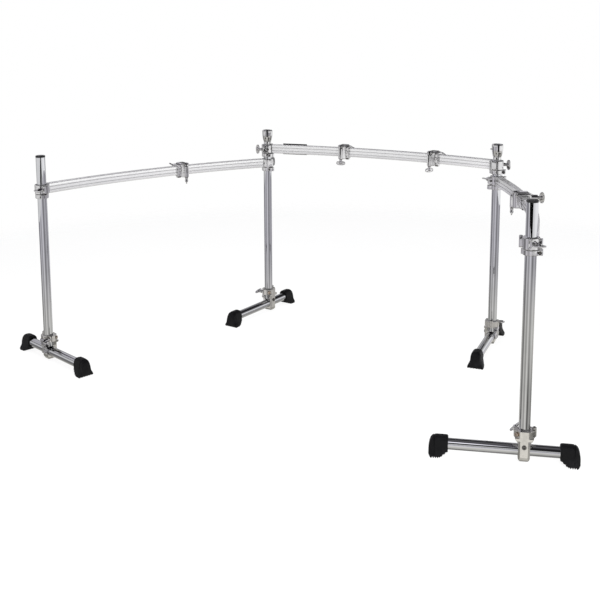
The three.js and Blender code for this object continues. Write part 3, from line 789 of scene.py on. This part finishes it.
SIDE_POST = tube_mesh("side_post", POST_BOTTOM, SIDE_POST_TOP, CHROME)
REAR_POST = tube_mesh("rear_post", POST_BOTTOM, FRONT_POST_TOP, CHROME)
CAP = finish_mesh(lathe([
    (0, SIDE_POST_TOP - 16), (POST_RI - 1.2, SIDE_POST_TOP - 16), (POST_RI - 0.3, SIDE_POST_TOP - 14),
    (POST_RI - 0.3, SIDE_POST_TOP + 0.3), (19.3, SIDE_POST_TOP + 0.3), (19.75, SIDE_POST_TOP + 0.8), (19.8, CAP_TOP - 3.4),
    (19.5, CAP_TOP - 2.2), (18.7, CAP_TOP - 1.1), (17.6, CAP_TOP - 0.55), (15.0, CAP_TOP - 0.25), (14.4, CAP_TOP - 0.75),
    (13.8, CAP_TOP - 0.75), (13.2, CAP_TOP - 0.2), (6, CAP_TOP), (0, CAP_TOP),
], 96), "post_cap", PLASTIC, 50)
for name, (x, y) in POSTS.items():
    rear = name.startswith("rear")
    body = "front_frame" if rear else f"{name}_post"
    put(f"post_{name}_tube", REAR_POST if rear else SIDE_POST, body, at(x, y), [f"post_{name}"])
    if not rear:
        put(f"post_cap_{name}_plug", CAP, body, at(x, y), [f"post_cap_{name}"])


# ------------------------------------------------------------------ small fixings
def socket_bolt(name, r, h, hex_r, mat):
    """Round-headed bolt with a hexagon socket, head towards +Z, seated at z = 0."""
    o = lathe([(0, -3), (r * 0.6, -3), (r * 0.6, 0), (r, 0), (r, h * 0.55), (r * 0.94, h * 0.82), (r * 0.8, h), (0, h)], 40)
    hexa = prism([(hex_r * math.cos(math.radians(60 * i)), hex_r * math.sin(math.radians(60 * i))) for i in range(6)], h * 0.3, h + 2)
    boolean(o, hexa, "DIFFERENCE")
    return finish_mesh(o, name, mat, 35)


def key_bolt(name, mat):
    """Square-headed key bolt: flanged round base with a square peg, head towards +Z."""
    o = lathe([(0, -3), (3, -3), (3, 0), (4.7, 0), (4.9, 0.6), (4.7, 1.4), (3.4, 1.8), (0, 1.8)], 40)
    peg = prism(rpoly([(-2.6, -2.6), (2.6, -2.6), (2.6, 2.6), (-2.6, 2.6)], 0.5), 1.5, 7)
    return finish_mesh(union([o, peg]), name, mat, 35)


def dome_rivet(name, r, h, mat):
    """Flat-topped rivet with a shallow ring, head towards +Z."""
    o = lathe([(0, -3), (r * 0.7, -3), (r * 0.7, 0), (r, 0), (r, h * 0.5), (r * 0.92, h * 0.85), (r * 0.75, h),
               (r * 0.55, h), (r * 0.5, h * 0.8), (r * 0.3, h * 0.8), (r * 0.25, h), (0, h)], 40)
    return finish_mesh(o, name, mat, 35)


BOLT_BIG = socket_bolt("bolt_big", 7.5, 4.5, 3.4, STEEL)
BOLT_SMALL = socket_bolt("bolt_small", 3.6, 2.2, 1.7, STEEL)
KEY_BOLT = key_bolt("key_bolt", STEEL)
RIVET = dome_rivet("rivet", 7.3, 3.0, CAST_CHROME)
EAR_RIVET = dome_rivet("ear_rivet", 7.3, 3.0, BRONZE)
ALONG = {
    "+x": Matrix.Rotation(math.pi / 2, 4, "Y"), "-x": Matrix.Rotation(-math.pi / 2, 4, "Y"),
    "+y": Matrix.Rotation(-math.pi / 2, 4, "X"), "-y": Matrix.Rotation(math.pi / 2, 4, "X"),
    "+z": Matrix.Identity(4), "-z": Matrix.Rotation(math.pi, 4, "X"),
}


def fixing(name, me, base, x, y, z, way, body):
    put(name, me, body, base @ Matrix.Translation((x, y, z)) @ ALONG[way])


# ------------------------------------------------------------------ wing bolts
def wing_mesh(name, reach, blade, wide, neck):
    """Bolt along X with its two wings standing in the XZ plane."""
    x, w, h = neck, wide, blade
    prof = [(0, -reach), (3.4, -reach), (4, -reach + 0.6), (4, 0), (7.4, 0), (7.8, 0.5), (7.8, 1.6), (6.6, 2.2), (6.4, neck),
            (7.2, neck + 4), (7.0, neck + wide * 0.5), (5.2, neck + wide * 0.68), (0, neck + wide * 0.74)]
    hub = lathe(prof, 48, "x")
    lobe = [(x + w / 2 - w / 2 * math.copysign(abs(math.cos(a)) ** 0.8, math.cos(a)), h * math.copysign(abs(math.sin(a)) ** 0.9, math.sin(a)))
            for a in (2 * math.pi * i / 48 for i in range(48))]
    plate = prism(lobe, -2.5, 2.5, "y")
    cuts = []
    for s in (-1, 1):  # thumb hollows
        cuts += [cyl(w * 0.30, -6, -1.5, "y", (x + w * 0.50, 0, s * h * 0.60), 32), cyl(w * 0.30, 1.5, 6, "y", (x + w * 0.50, 0, s * h * 0.60), 32)]
    return cast(name, [hub, plate], cuts, CAST_CHROME, 0.55, 3)


WING_CLAMP = wing_mesh("wing_clamp", 21, 22, 18, 12)
WING_SLIDER = wing_mesh("wing_slider", 20, 22, 20, 8)
WING_HEAD = wing_mesh("wing_head", 15, 22, 16, 6)
WING_REAR = wing_mesh("wing_rear", 26, 22, 21, 6)


def bolt_matrix(x, y, z, roll, turn, down=False):
    m = Matrix.Rotation(roll, 4, "X")
    if down:
        m = Matrix.Rotation(math.pi / 2, 4, "Y") @ m
    return Matrix.Translation((x, y, z)) @ Matrix.Rotation(turn, 4, "Z") @ m


def local(x, y, turn, lx, ly):
    c, s = math.cos(turn), math.sin(turn)
    return x + lx * c - ly * s, y + lx * s + ly * c


# ------------------------------------------------------------------ rail-end clamps
def rail_clamp_mesh():
    h = CLAMP_H / 2
    collar = lathe([(0, -h), (26.6, -h), (28, -h + 1.4), (28, h - 1.4), (26.6, h), (0, h)], 72)
    trim = block(26.5, 60, -60, 60, -h - 1, h + 1)
    boolean(collar, trim, "DIFFERENCE")
    lug = prism(rpoly([(JAW_X, -h + 4.5), (12, -h + 4.5), (12, h - 4.5), (JAW_X, h - 4.5)], 2.5), -36, -14, "y")
    lug_back = prism(rpoly([(JAW_X + 2, -h + 4.5), (12, -h + 4.5), (12, h - 4.5), (JAW_X + 2, h - 4.5)], 2.5), 14, 36, "y")
    hinge = cyl(6.2, -h, h, "z", (12, 33.5, 0), 40)
    neck = prism([(6, -20), (18, -17.5), (20.5, -RAIL_T / 2), (26.5, -RAIL_T / 2), (26.5, RAIL_T / 2), (20.5, RAIL_T / 2), (18, 17.5), (6, 20)], -h, h)
    rib = block(19.5, 26.5, -RAIL_T / 2 - 1.6, RAIL_T / 2 + 1.6, -h, h, 1.2)
    tongue = block(20, 60, -10.4, 10.4, -15.5, 15.5)
    cuts = [cyl(BORE_R + 0.1, -h - 5, h + 5, seg=96), block(-1.4, 1.4, -60, -10, -h - 2, h + 2), cyl(4.7, JAW_X - 6, 16, "x", (0, -EAR_Y, 0), 32),
            cyl(2.6, h - 2.5, h + 3, "z", (12, 33.5, 0), 24), cyl(2.6, -h - 3, -h + 2.5, "z", (12, 33.5, 0), 24),
            prism([(-40, -4), (-26, -4), (-25, 0), (-26, 4), (-40, 4)], -h + 9, h - 9)]
    return cast("rail_clamp", [collar, lug, lug_back, hinge, neck, rib, tongue], cuts, CAST_CHROME, 0.75, 3)


CLAMPS = {
    "left_outer": ("left", "left", 0, 90), "left_inner": ("rear_left", "left", 1, 10),
    "front_left": ("rear_left", "front", 0, 4), "front_right": ("rear_right", "front", 1, -4),
    "right_inner": ("rear_right", "right", 0, 80), "right_outer": ("right", "right", 1, 90),
}
RAIL_CLAMP = rail_clamp_mesh()
for name, (post, rail, end, roll) in CLAMPS.items():
    A, (x, y) = ARCS[rail], POSTS[post]
    turn = heading(A, 0) if end == 0 else heading(A, 1) + math.pi
    base = at(x, y, A["z"], turn)
    put(f"rail_clamp_{name}_casting", RAIL_CLAMP, A["body"], base, [f"rail_clamp_{name}"])
    bx, by = local(x, y, turn, JAW_X - 6.5, -EAR_Y)
    put(f"wing_bolt_{name}_wing", WING_CLAMP, f"{name}_bolt", bolt_matrix(bx, by, A["z"], math.radians(180 - roll), turn + math.pi), [f"wing_bolt_{name}"])
    fixing(f"clamp_nut_{name}", BOLT_SMALL, base, 12, -EAR_Y, 0, "+x", A["body"])
    fixing(f"hinge_pin_{name}", BOLT_SMALL, base, 12, 33.5, CLAMP_H / 2 - 2.2, "+z", A["body"])
    for s in (-1, 1):
        fixing(f"rail_screw_{name}_{'a' if s < 0 else 'b'}", BOLT_SMALL, base, 23, s * (RAIL_T / 2 + 1.3), 0, "+y" if s > 0 else "-y", A["body"])


# ------------------------------------------------------------------ memory locks
def lock_mesh():
    h = LOCK_H
    ring = lathe([(0, 0), (25.8, 0), (27, 1.2), (27, h - 1.2), (25.8, h), (0, h)], 72)
    boss = prism(rpoly([(14, -13), (38, -13), (38, 13), (14, 13)], [0, 5, 5, 0]), 0.6, h - 0.6)
    knuckle = cyl(4.6, 0.4, h - 0.4, "z", (-26.5, 0, 0), 32)
    cuts = [cyl(BORE_R + 0.1, -5, h + 5, seg=96), block(10, 50, -1.1, 1.1, -2, h + 2), cyl(5.4, -25, -8.5, "y", (29.5, 0, h / 2), 36),
            block(-26.5, -10, -0.6, 0.6, -2, h + 2)]
    return cast("memory_lock", [ring, boss, knuckle], cuts, CAST_CHROME, 0.7, 3)


LOCKS = {
    "left": ("left", SIDE_Z, -36, "left_outer_lock"), "rear_left_side": ("rear_left", SIDE_Z, -24, "left_wing_lock"),
    "rear_left_front": ("rear_left", FRONT_Z, -24, "rear_left_front_lock"), "rear_right_front": ("rear_right", FRONT_Z, 13, "rear_right_front_lock"),
    "rear_right_side": ("rear_right", SIDE_Z, 206, "right_wing_lock"), "right": ("right", SIDE_Z, 9, "right_outer_lock"),
}
LOCK = lock_mesh()
for name, (post, under, turn, body) in LOCKS.items():
    x, y = POSTS[post]
    base = at(x, y, under - CLAMP_H / 2 - 0.5 - LOCK_H, math.radians(turn))
    put(f"memory_lock_{name}_ring", LOCK, body, base, [f"memory_lock_{name}"])
    fixing(f"memory_key_{name}", KEY_BOLT, base, 29.5, -8.7, LOCK_H / 2, "-y", body)


# ------------------------------------------------------------------ receiver heads
def head_mesh():
    body = lathe([
        (0, 790), (POST_RI - 0.4, 790), (POST_RI - 0.4, 826.4), (17, 826.6), (17.3, 828), (17.3, 838.5), (17.6, 840), (18.6, 842),
        (19.6, 845), (21.2, 851), (22.6, 859), (23.6, 868), (24.2, 880), (24.4, 886), (24.2, 890.5), (23.4, 892.8), (22.0, 893.9), (0, 893.9)], 96)
    boss = prism(rpoly([(-9, HEAD_BOLT_Z - 9), (9, HEAD_BOLT_Z - 9), (9, HEAD_BOLT_Z + 9), (-9, HEAD_BOLT_Z + 9)], 5), 12, 31, "y")
    cuts = [cyl(15.2, 846, 900, seg=96), block(-3.5, 3.5, -40, 0, 863, 900), block(-3.4, 3.4, -40, -8, 828.4, 841),
            cyl(4.7, 8, 40, "y", (0, 0, HEAD_BOLT_Z), 32), lathe([(0, 892), (15.2, 892), (17, 894.5), (0, 894.5)], 72)]
    return cast("receiver_head", [body, boss], cuts, CAST_CHROME, 0.75, 3)


HEAD = head_mesh()
LINER = finish_mesh(lathe([
    (13.6, 847.0), (14.9, 847.0), (14.9, 889.2), (14.5, 889.8), (14.0, 889.8), (13.6, 889.2)], 72), "head_liner", PLASTIC, 40)
for name, roll in (("rear_left", 0), ("rear_right", 90)):
    x, y = POSTS[name]
    base = at(x, y, 0, HEAD_TURN)
    put(f"receiver_head_{name}_cup", HEAD, "front_frame", base, [f"receiver_head_{name}"])
    put(f"head_liner_{name}", LINER, "front_frame", base)
    fixing(f"head_screw_{name}_low", BOLT_SMALL, base, -7.5, -20.2, 856, "-y", "front_frame")
    fixing(f"head_screw_{name}_high", BOLT_SMALL, base, 7.5, -20.2, 856, "-y", "front_frame")
    t = HEAD_TURN + math.pi / 2
    put(f"receiver_wing_bolt_{name}_wing", WING_HEAD, f"{name}_receiver_bolt",
        bolt_matrix(x + math.cos(t) * 31.4, y + math.sin(t) * 31.4, HEAD_BOLT_Z, math.radians(roll), t), [f"receiver_wing_bolt_{name}"])


# ------------------------------------------------------------------ T-feet
def foot_clamp_mesh():
    head = prism(rpoly([(PLATE_X, -15), (PLATE_X, 15), (12, 34), (-9, 34), (-24, 20), (-29, 8), (-29, -8), (-24, -20), (-9, -34), (12, -34)], 2.5), FOOT_LOW, FOOT_TOP)
    hinge = lathe([(0, FOOT_LOW), (7.4, FOOT_LOW), (7.4, FOOT_TOP + 6), (6.4, FOOT_TOP + 7), (0, FOOT_TOP + 7)], 40, "z", (-2, 32, 0))
    arm = prism(rpoly([(-31, FOOT_LOW + 1), (-20, 66), (-19.5, 16), (-13, 6.5), (13, 6.5), (19.5, 16), (20, 66), (31, FOOT_LOW + 1)],
                      [0, 10, 6, 5, 5, 6, 10, 0], 6), -16, PLATE_X, "x")
    big = 60
    back = prism([(-40, 30), (TUBE_OFF - 6, 30), (TUBE_OFF - 6, 59.6), (8.6, 59.6), (8.6, FOOT_LOW - 0.01), (-40, FOOT_LOW - 0.01)], -big, big, "y")
    heel = prism([(-40, 0), (-3, 0), (-12, 9), (-17.5, 22), (-18.5, 31), (-40, 31)], -big, big, "y")
    toe = prism([(PLATE_X + 5, 0), (13, 0), (PLATE_X - 9, 5), (PLATE_X - 3, 12), (PLATE_X + 0.01, 22), (PLATE_X + 5, 22)], -big, big, "y")
    bevel_l = prism([(PLATE_X + 1, 12), (PLATE_X + 1, 40), (PLATE_X - 14, 40), (PLATE_X - 7, 19.8)], 0, FOOT_LOW - 8)
    bevel_r = prism([(PLATE_X + 1, -12), (PLATE_X - 7, -19.8), (PLATE_X - 14, -40), (PLATE_X + 1, -40)], 0, FOOT_LOW - 8)
    seat = block(-40, -12.5, -40, -18, FOOT_LOW - 1, FOOT_TOP + 1)
    cuts = [back, heel, toe, bevel_l, bevel_r, seat,
            cyl(BORE_R + 0.1, -60, 60, "y", (TUBE_OFF, 0, TUBE_Z), 96), cyl(BORE_R + 0.1, POST_BOTTOM - 2.2, FOOT_TOP + 20, "z", (0, 0, 0), 96),
            block(-6.1, -3.3, -50, -12, FOOT_LOW - 1, FOOT_TOP + 1), cyl(4.7, -40, 12, "x", (0, -EAR_Y, FOOT_BOLT_Z), 32)]
    return cast("foot_clamp", [head, hinge, arm], cuts, CASTING, 0.75, 3)


def foot_jaw_mesh():
    """Hinged jaw behind the foot tube: hangs from its barrel and closes over the back of the tube."""
    def arc(r, a0, a1, n):
        return [(TUBE_OFF + r * math.cos(math.radians(a0 + (a1 - a0) * i / n)), TUBE_Z + r * math.sin(math.radians(a0 + (a1 - a0) * i / n))) for i in range(n + 1)]

    outline = [(-27, 84.5), (-12, 84.5), (-11, 70), (-9, 60.5)] + arc(20.0, 124, 205, 12) + [(-16.0, 31.3), (-22, 31.3)] + arc(27.0, 190, 146, 8) + [(-26, 64), (-28.5, 72)]
    plate = prism(outline, -16, 16, "y")
    barrel = cyl(8.2, -19, 19, "y", (-19.5, 0, 71.5), 40)
    rib = prism(rpoly([(-31, 62), (-18, 66), (-18, 33), (-26.5, 33)], [2, 0, 0, 3]), -4.5, 4.5, "y")
    toe = cyl(4.6, -16.5, 16.5, "y", (-20.8, 0, 35.6), 32)
    cuts = [cyl(BORE_R + 0.2, -60, 60, "y", (TUBE_OFF, 0, TUBE_Z), 96), cyl(2.6, -22, -16.5, "y", (-19.5, 0, 71.5), 24), cyl(2.6, 16.5, 22, "y", (-19.5, 0, 71.5), 24),
            block(-40, 0, 7.2, 8.8, 60, 84), block(-40, 0, -8.8, -7.2, 60, 84), cyl(BORE_R + 0.2, POST_BOTTOM - 3, 120, "z", (0, 0, 0), 96)]
    return cast("foot_jaw", [plate, barrel, rib, toe], cuts, CAST_CHROME, 0.75, 3)


def boot_mesh():
    """Rubber boot: hood over the tube end, flared skirt and a grooved sole, tube entering at x = 0."""
    rows = (  # x, top height, hood half width, skirt half width
        (0.0, 66.0, 21.4, 24.0), (2.0, 68.6, 22.0, 26.0), (7, 69.6, 22.2, 28.2), (20, 69.8, 22.3, 31.0), (34, 69.6, 22.3, 32.8), (44, 68.8, 22.1, 33.4),
        (50, 67.0, 21.7, 33.4), (55, 63.0, 21.0, 33.0), (59, 56.6, 20.4, 32.2), (62, 47.5, 20.2, 31.0), (64, 36.0, 20.2, 29.6),
    )
    verts, faces, loops = [], [], []
    for x, top, hood, skirt in rows:
        k = top / 70.0
        d = skirt - hood
        # right half from the sole up: skirt wall, waist, hood wall, round shoulder
        half = [(skirt, 0.0), (skirt, 8.0 * k), (skirt - 0.14 * d, 12.5 * k), (hood + 0.58 * d, 19.0 * k), (hood + 0.30 * d, 26.0 * k), (hood + 0.08 * d, 34.0 * k),
                (hood, 42.0 * k), (hood * 0.985, 50.0 * k), (hood * 0.93, 57.0 * k), (hood * 0.82, 62.6 * k), (hood * 0.66, 66.4 * k), (hood * 0.42, 69.0 * k)]
        sec = [(-y, z) for y, z in half] + [(0.0, top)] + list(reversed(half))
        loops.append(range(len(verts), len(verts) + len(sec)))
        verts += [(x, y, z) for y, z in sec]
    m = len(loops[0])
    for a, b in zip(loops, loops[1:]):
        faces += [[a[j], a[(j + 1) % m], b[(j + 1) % m], b[j]] for j in range(m)]
    faces += [list(loops[0]), list(loops[-1])]
    shell = solid(verts, faces)
    hood_ring = lathe([(0, -0.0), (22.4, -0.0), (23.6, 1.6), (23.6, 5.0), (22.4, 6.6), (0, 6.6)], 64, "x", (0, 0, TUBE_Z))
    # stepped heel on the tube side, chamfered toe, and a grooved sole
    heel = prism([(-5, -1), (27, -1), (25, 5.0), (18.5, 6.5), (16, 12), (9.5, 13.5), (7, 19), (-5, 20)], -60, 60, "y")
    toe = prism([(55.5, -1), (70, -1), (70, 16), (65, 13)], -60, 60, "y")
    cuts = [heel, toe, cyl(BORE_R, -8, TUBE_IN_BOOT + 0.5, "x", (0, 0, TUBE_Z), 72)]
    for x in (29, 36, 43, 50):
        cuts.append(prism([(x - 2.8, -1), (x - 1.3, 4.2), (x + 1.3, 4.2), (x + 2.8, -1)], -40, 40, "y"))
    for y in (-23, -11.5, 0, 11.5, 23):
        cuts.append(prism([(y - 2.6, -1), (y - 1.2, 7), (y + 1.2, 7), (y + 2.6, -1)], 54, 70, "x"))
    # shallow groove that frames the toe cap
    cuts.append(boolean(block(44.0, 46.6, -40, 40, 10, 80), prism([(y, z) for y, z in [(31.2, -5), (31.2, 8), (27.2, 18), (22.6, 29), (20.2, 40), (19.6, 50), (17.2, 58), (12, 64.2), (0, 66.6)]] + [(-y, z) for y, z in [(12, 64.2), (17.2, 58), (19.6, 50), (20.2, 40), (22.6, 29), (27.2, 18), (31.2, 8), (31.2, -5)]], 40, 50, "x"), "DIFFERENCE"))
    return cast("rubber_boot", [shell, hood_ring], cuts, RUBBER, 0.8, 4, 2.2)


FOOT_CLAMP, FOOT_JAW, BOOT = foot_clamp_mesh(), foot_jaw_mesh(), boot_mesh()
for name, (dir_, long_, short, side) in FEET.items():
    x, y = POSTS[name]
    d, pd = math.radians(dir_), math.radians(dir_ + side)
    clamp_body, foot_body = f"{name}_foot_clamp", f"{name}_foot"
    base = at(x, y, 0, pd)
    put(f"foot_clamp_{name}_casting", FOOT_CLAMP, clamp_body, base, [f"foot_clamp_{name}"])
    put(f"foot_jaw_{name}", FOOT_JAW, clamp_body, base)
    for sy in (-1, 1):
        fixing(f"jaw_pin_{name}_{'a' if sy < 0 else 'b'}", BOLT_SMALL, base, -19.5, sy * 18.6, 71.5, "+y" if sy > 0 else "-y", clamp_body)
    bx, by = local(x, y, pd, -19, -EAR_Y)
    put(f"foot_wing_bolt_{name}_wing", WING_CLAMP, f"{name}_foot_wing_bolt", bolt_matrix(bx, by, FOOT_BOLT_Z, math.radians(46 if name == "right" else 78), pd + math.pi), [f"foot_wing_bolt_{name}"])
    fixing(f"plate_bolt_{name}", BOLT_BIG, base, PLATE_X - 0.6, 0, 58, "+x", clamp_body)
    fixing(f"ear_rivet_{name}", EAR_RIVET, base @ Matrix.Rotation(math.radians(-46), 4, "Z"), 35.2, -1.0, FOOT_BOLT_Z, "+x", clamp_body)
    fixing(f"knuckle_pin_{name}", BOLT_SMALL, base, -2, 32, FOOT_TOP + 6.6, "+z", clamp_body)
    ax, ay = x + TUBE_OFF * math.cos(pd), y + TUBE_OFF * math.sin(pd)
    n = long_ + short + 2 * TUBE_IN_BOOT
    mid = (long_ - short) / 2
    tube = tube_mesh(f"foot_tube_{name}", -n / 2, n / 2, CHROME)
    put(f"foot_tube_{name}_tube", tube, foot_body, at(ax + math.cos(d) * mid, ay + math.sin(d) * mid, TUBE_Z, d) @ Matrix.Rotation(math.pi / 2, 4, "Y"),
        [f"foot_tube_{name}"])
    for end, sg, reach in (("long", 1, long_), ("short", -1, short)):
        put(f"boot_{name}_{end}", BOOT, foot_body, at(ax + math.cos(d) * sg * reach, ay + math.sin(d) * sg * reach, 0, d + (math.pi if sg < 0 else 0)),
            [f"rubber_foot_{name}_{end}"])


# ------------------------------------------------------------------ sliding clamps
def slider_mesh(name, side):
    g = 0.6
    ti, hi = RAIL_T / 2 + g, RAIL_H / 2 + g
    flip = (lambda pts: [(-u, v) for u, v in pts]) if side < 0 else (lambda pts: pts)
    X = (lambda a, b: (-b, -a)) if side < 0 else (lambda a, b: (a, b))
    R = HOLDER_R - 1.3
    holder = lathe([(0, HOLDER_BOTTOM), (R - 1.2, HOLDER_BOTTOM), (R, HOLDER_BOTTOM + 1.2), (R, HOLDER_TOP - 7), (R + 1.2, HOLDER_TOP - 6),
                    (R + 1.2, HOLDER_TOP - 4.2), (R + 0.7, HOLDER_TOP - 2.2), (R - 0.6, HOLDER_TOP - 0.7), (R - 2.4, HOLDER_TOP), (0, HOLDER_TOP)], 72, "z", (0, HOLDER_Y, 0))
    pad = block(-18, 18, HOLDER_Y, -ti, HOLDER_BOTTOM + 2, hi + 7, 1)
    prof = rpoly([(-ti - 7, -hi - 6.5), (6, -hi - 6.5), (6, -hi), (-ti, -hi), (-ti, hi), (ti, hi), (ti, 6), (ti + 6.5, 6),
                  (ti + 6.5, hi + 3), (ti + 3, hi + 7), (-ti - 7, hi + 7)], [3, 2, 1, 0.6, 0.6, 0.6, 1, 2, 3, 3, 4], 4)
    jaws = prism(prof, *X(-16, 30), "x")
    bridge = prism(rpoly([(-38, hi), (17, hi), (17, HOLDER_TOP), (-38, HOLDER_TOP)], [0, 0, 9, 9], 8), *X(-15, 21), "x")
    ends = prism(rpoly([(X(-15, 21)[0], hi - 1), (X(-15, 21)[1], hi - 1), (X(-15, 21)[1], HOLDER_TOP), (X(-15, 21)[0], HOLDER_TOP)], [0, 0, 5, 5], 6), -60, 60, "y")
    boolean(bridge, ends, "INTERSECT")
    boss = cyl(11.5, ti, 48, "y", (side * 12, 0, 14), 48)
    web = prism(rpoly([(ti, 0), (40, 6), (40, 22), (ti, 34)], [0, 3, 3, 0]), *X(7, 17), "x")
    lip = block(*X(10, 26), -9, 5, -hi - 13, -hi - 6, 1.5)
    face = block(*X(12, 30), -ti - 12, -ti - 3, -14, hi + 7, 1.5)
    ears = prism(rpoly([(-9, HOLDER_BOTTOM), (9, HOLDER_BOTTOM), (9, 22), (-9, 22)], 4), -53.5, HOLDER_Y - 12, "y")
    cuts = [cyl(HOLDER_BORE, HOLDER_BOTTOM - 5, HOLDER_TOP + 5, "z", (0, HOLDER_Y, 0), 72), block(-2.4, 2.4, -80, HOLDER_Y, HOLDER_BOTTOM - 5, HOLDER_TOP + 5),
            cyl(4.7, HOLDER_BOTTOM - 5, -4, "z", (0, SLIDER_BOLT_Y, 0), 32), block(-60, 60, -ti, ti, -hi, hi),
            lathe([(0, HOLDER_TOP - 2.5), (HOLDER_BORE, HOLDER_TOP - 2.5), (HOLDER_BORE + 3, HOLDER_TOP + 0.5), (0, HOLDER_TOP + 0.5)], 72, "z", (0, HOLDER_Y, 0))]
    for x0, x1 in (X(-20, -12.5), X(18.5, 26)):  # framed panels at both ends of the bridge
        cuts.append(prism(rpoly([(-35, hi + 3), (13.5, hi + 3), (13.5, HOLDER_TOP - 3), (-35, HOLDER_TOP - 3)], 3, 4), x0, x1, "x"))
    return cast(name, [holder, pad, jaws, bridge, boss, web, lip, face, ears], cuts, CAST_CHROME, 0.8, 3)


SLIDERS = {"slider_left": ("left", 0.614, -1, 26.5), "slider_front_left": ("front", 0.337, 1, 90), "slider_front_right": ("front", 0.729, 1, 24), "slider_right": ("right", 0.39, 1, 100.6)}
REAR_ROLL = {"slider_left": 120, "slider_front_left": 108, "slider_front_right": 112, "slider_right": 4}
SLIDER = {1: slider_mesh("slider_body_a", 1), -1: slider_mesh("slider_body_b", -1)}
for name, (rail, t, side, roll) in SLIDERS.items():
    A = ARCS[rail]
    x, y = on_arc(A, t)
    turn = heading(A, t)
    base = at(x, y, A["z"], turn)
    hi = RAIL_H / 2
    put(f"{name}_casting", SLIDER[side], name, base, [name])
    bx, by = local(x, y, turn, 0, SLIDER_BOLT_Y)
    put(f"{name}_lower_wing", WING_SLIDER, f"{name}_bolt", bolt_matrix(bx, by, A["z"] + HOLDER_BOTTOM - 0.4, math.radians(90 + roll), turn, True), [f"{name}_wing_bolt"])
    # rear wing bolt over the outer jaw
    rx, ry = local(x, y, turn, side * 12, 48.3)
    put(f"{name}_rear_wing", WING_REAR, name, bolt_matrix(rx, ry, A["z"] + 14, math.radians(REAR_ROLL[name]), turn + math.pi / 2))
    for k, sx in enumerate((14, 22)):
        fixing(f"{name}_set_screw_{k}", BOLT_SMALL, base, side * sx, -9.0, -hi - 10.0, "-y", name)
    fixing(f"{name}_face_bolt", RIVET, base, side * 21, -RAIL_T / 2 - 12.4, 4, "-y", name)


# ------------------------------------------------------------------ blank plate
def plate_mesh():
    o = prism(rpoly([(-59, -27), (59, -27), (59, 24.6), (-59, 24.6)], 2.0, 5), RAIL_T / 2 + 0.9, RAIL_T / 2 + 3.4, "y")
    b = o.modifiers.new("b", "BEVEL")
    b.width, b.segments, b.limit_method, b.angle_limit = 0.5, 2, "ANGLE", math.radians(40)
    apply(o)
    return finish_mesh(o, "blank_plate", PLATE, 30)


A = ARCS["front"]
x, y = on_arc(A, 0.117)
base = at(x, y, A["z"], heading(A, 0.117))
put("blank_plate_sheet", plate_mesh(), "front_frame", base, ["blank_plate"])
for k, sx in enumerate((-52, 52)):
    fixing(f"plate_screw_{k}", BOLT_SMALL, base, sx, RAIL_T / 2 + 3.2, 0, "+y", "front_frame")
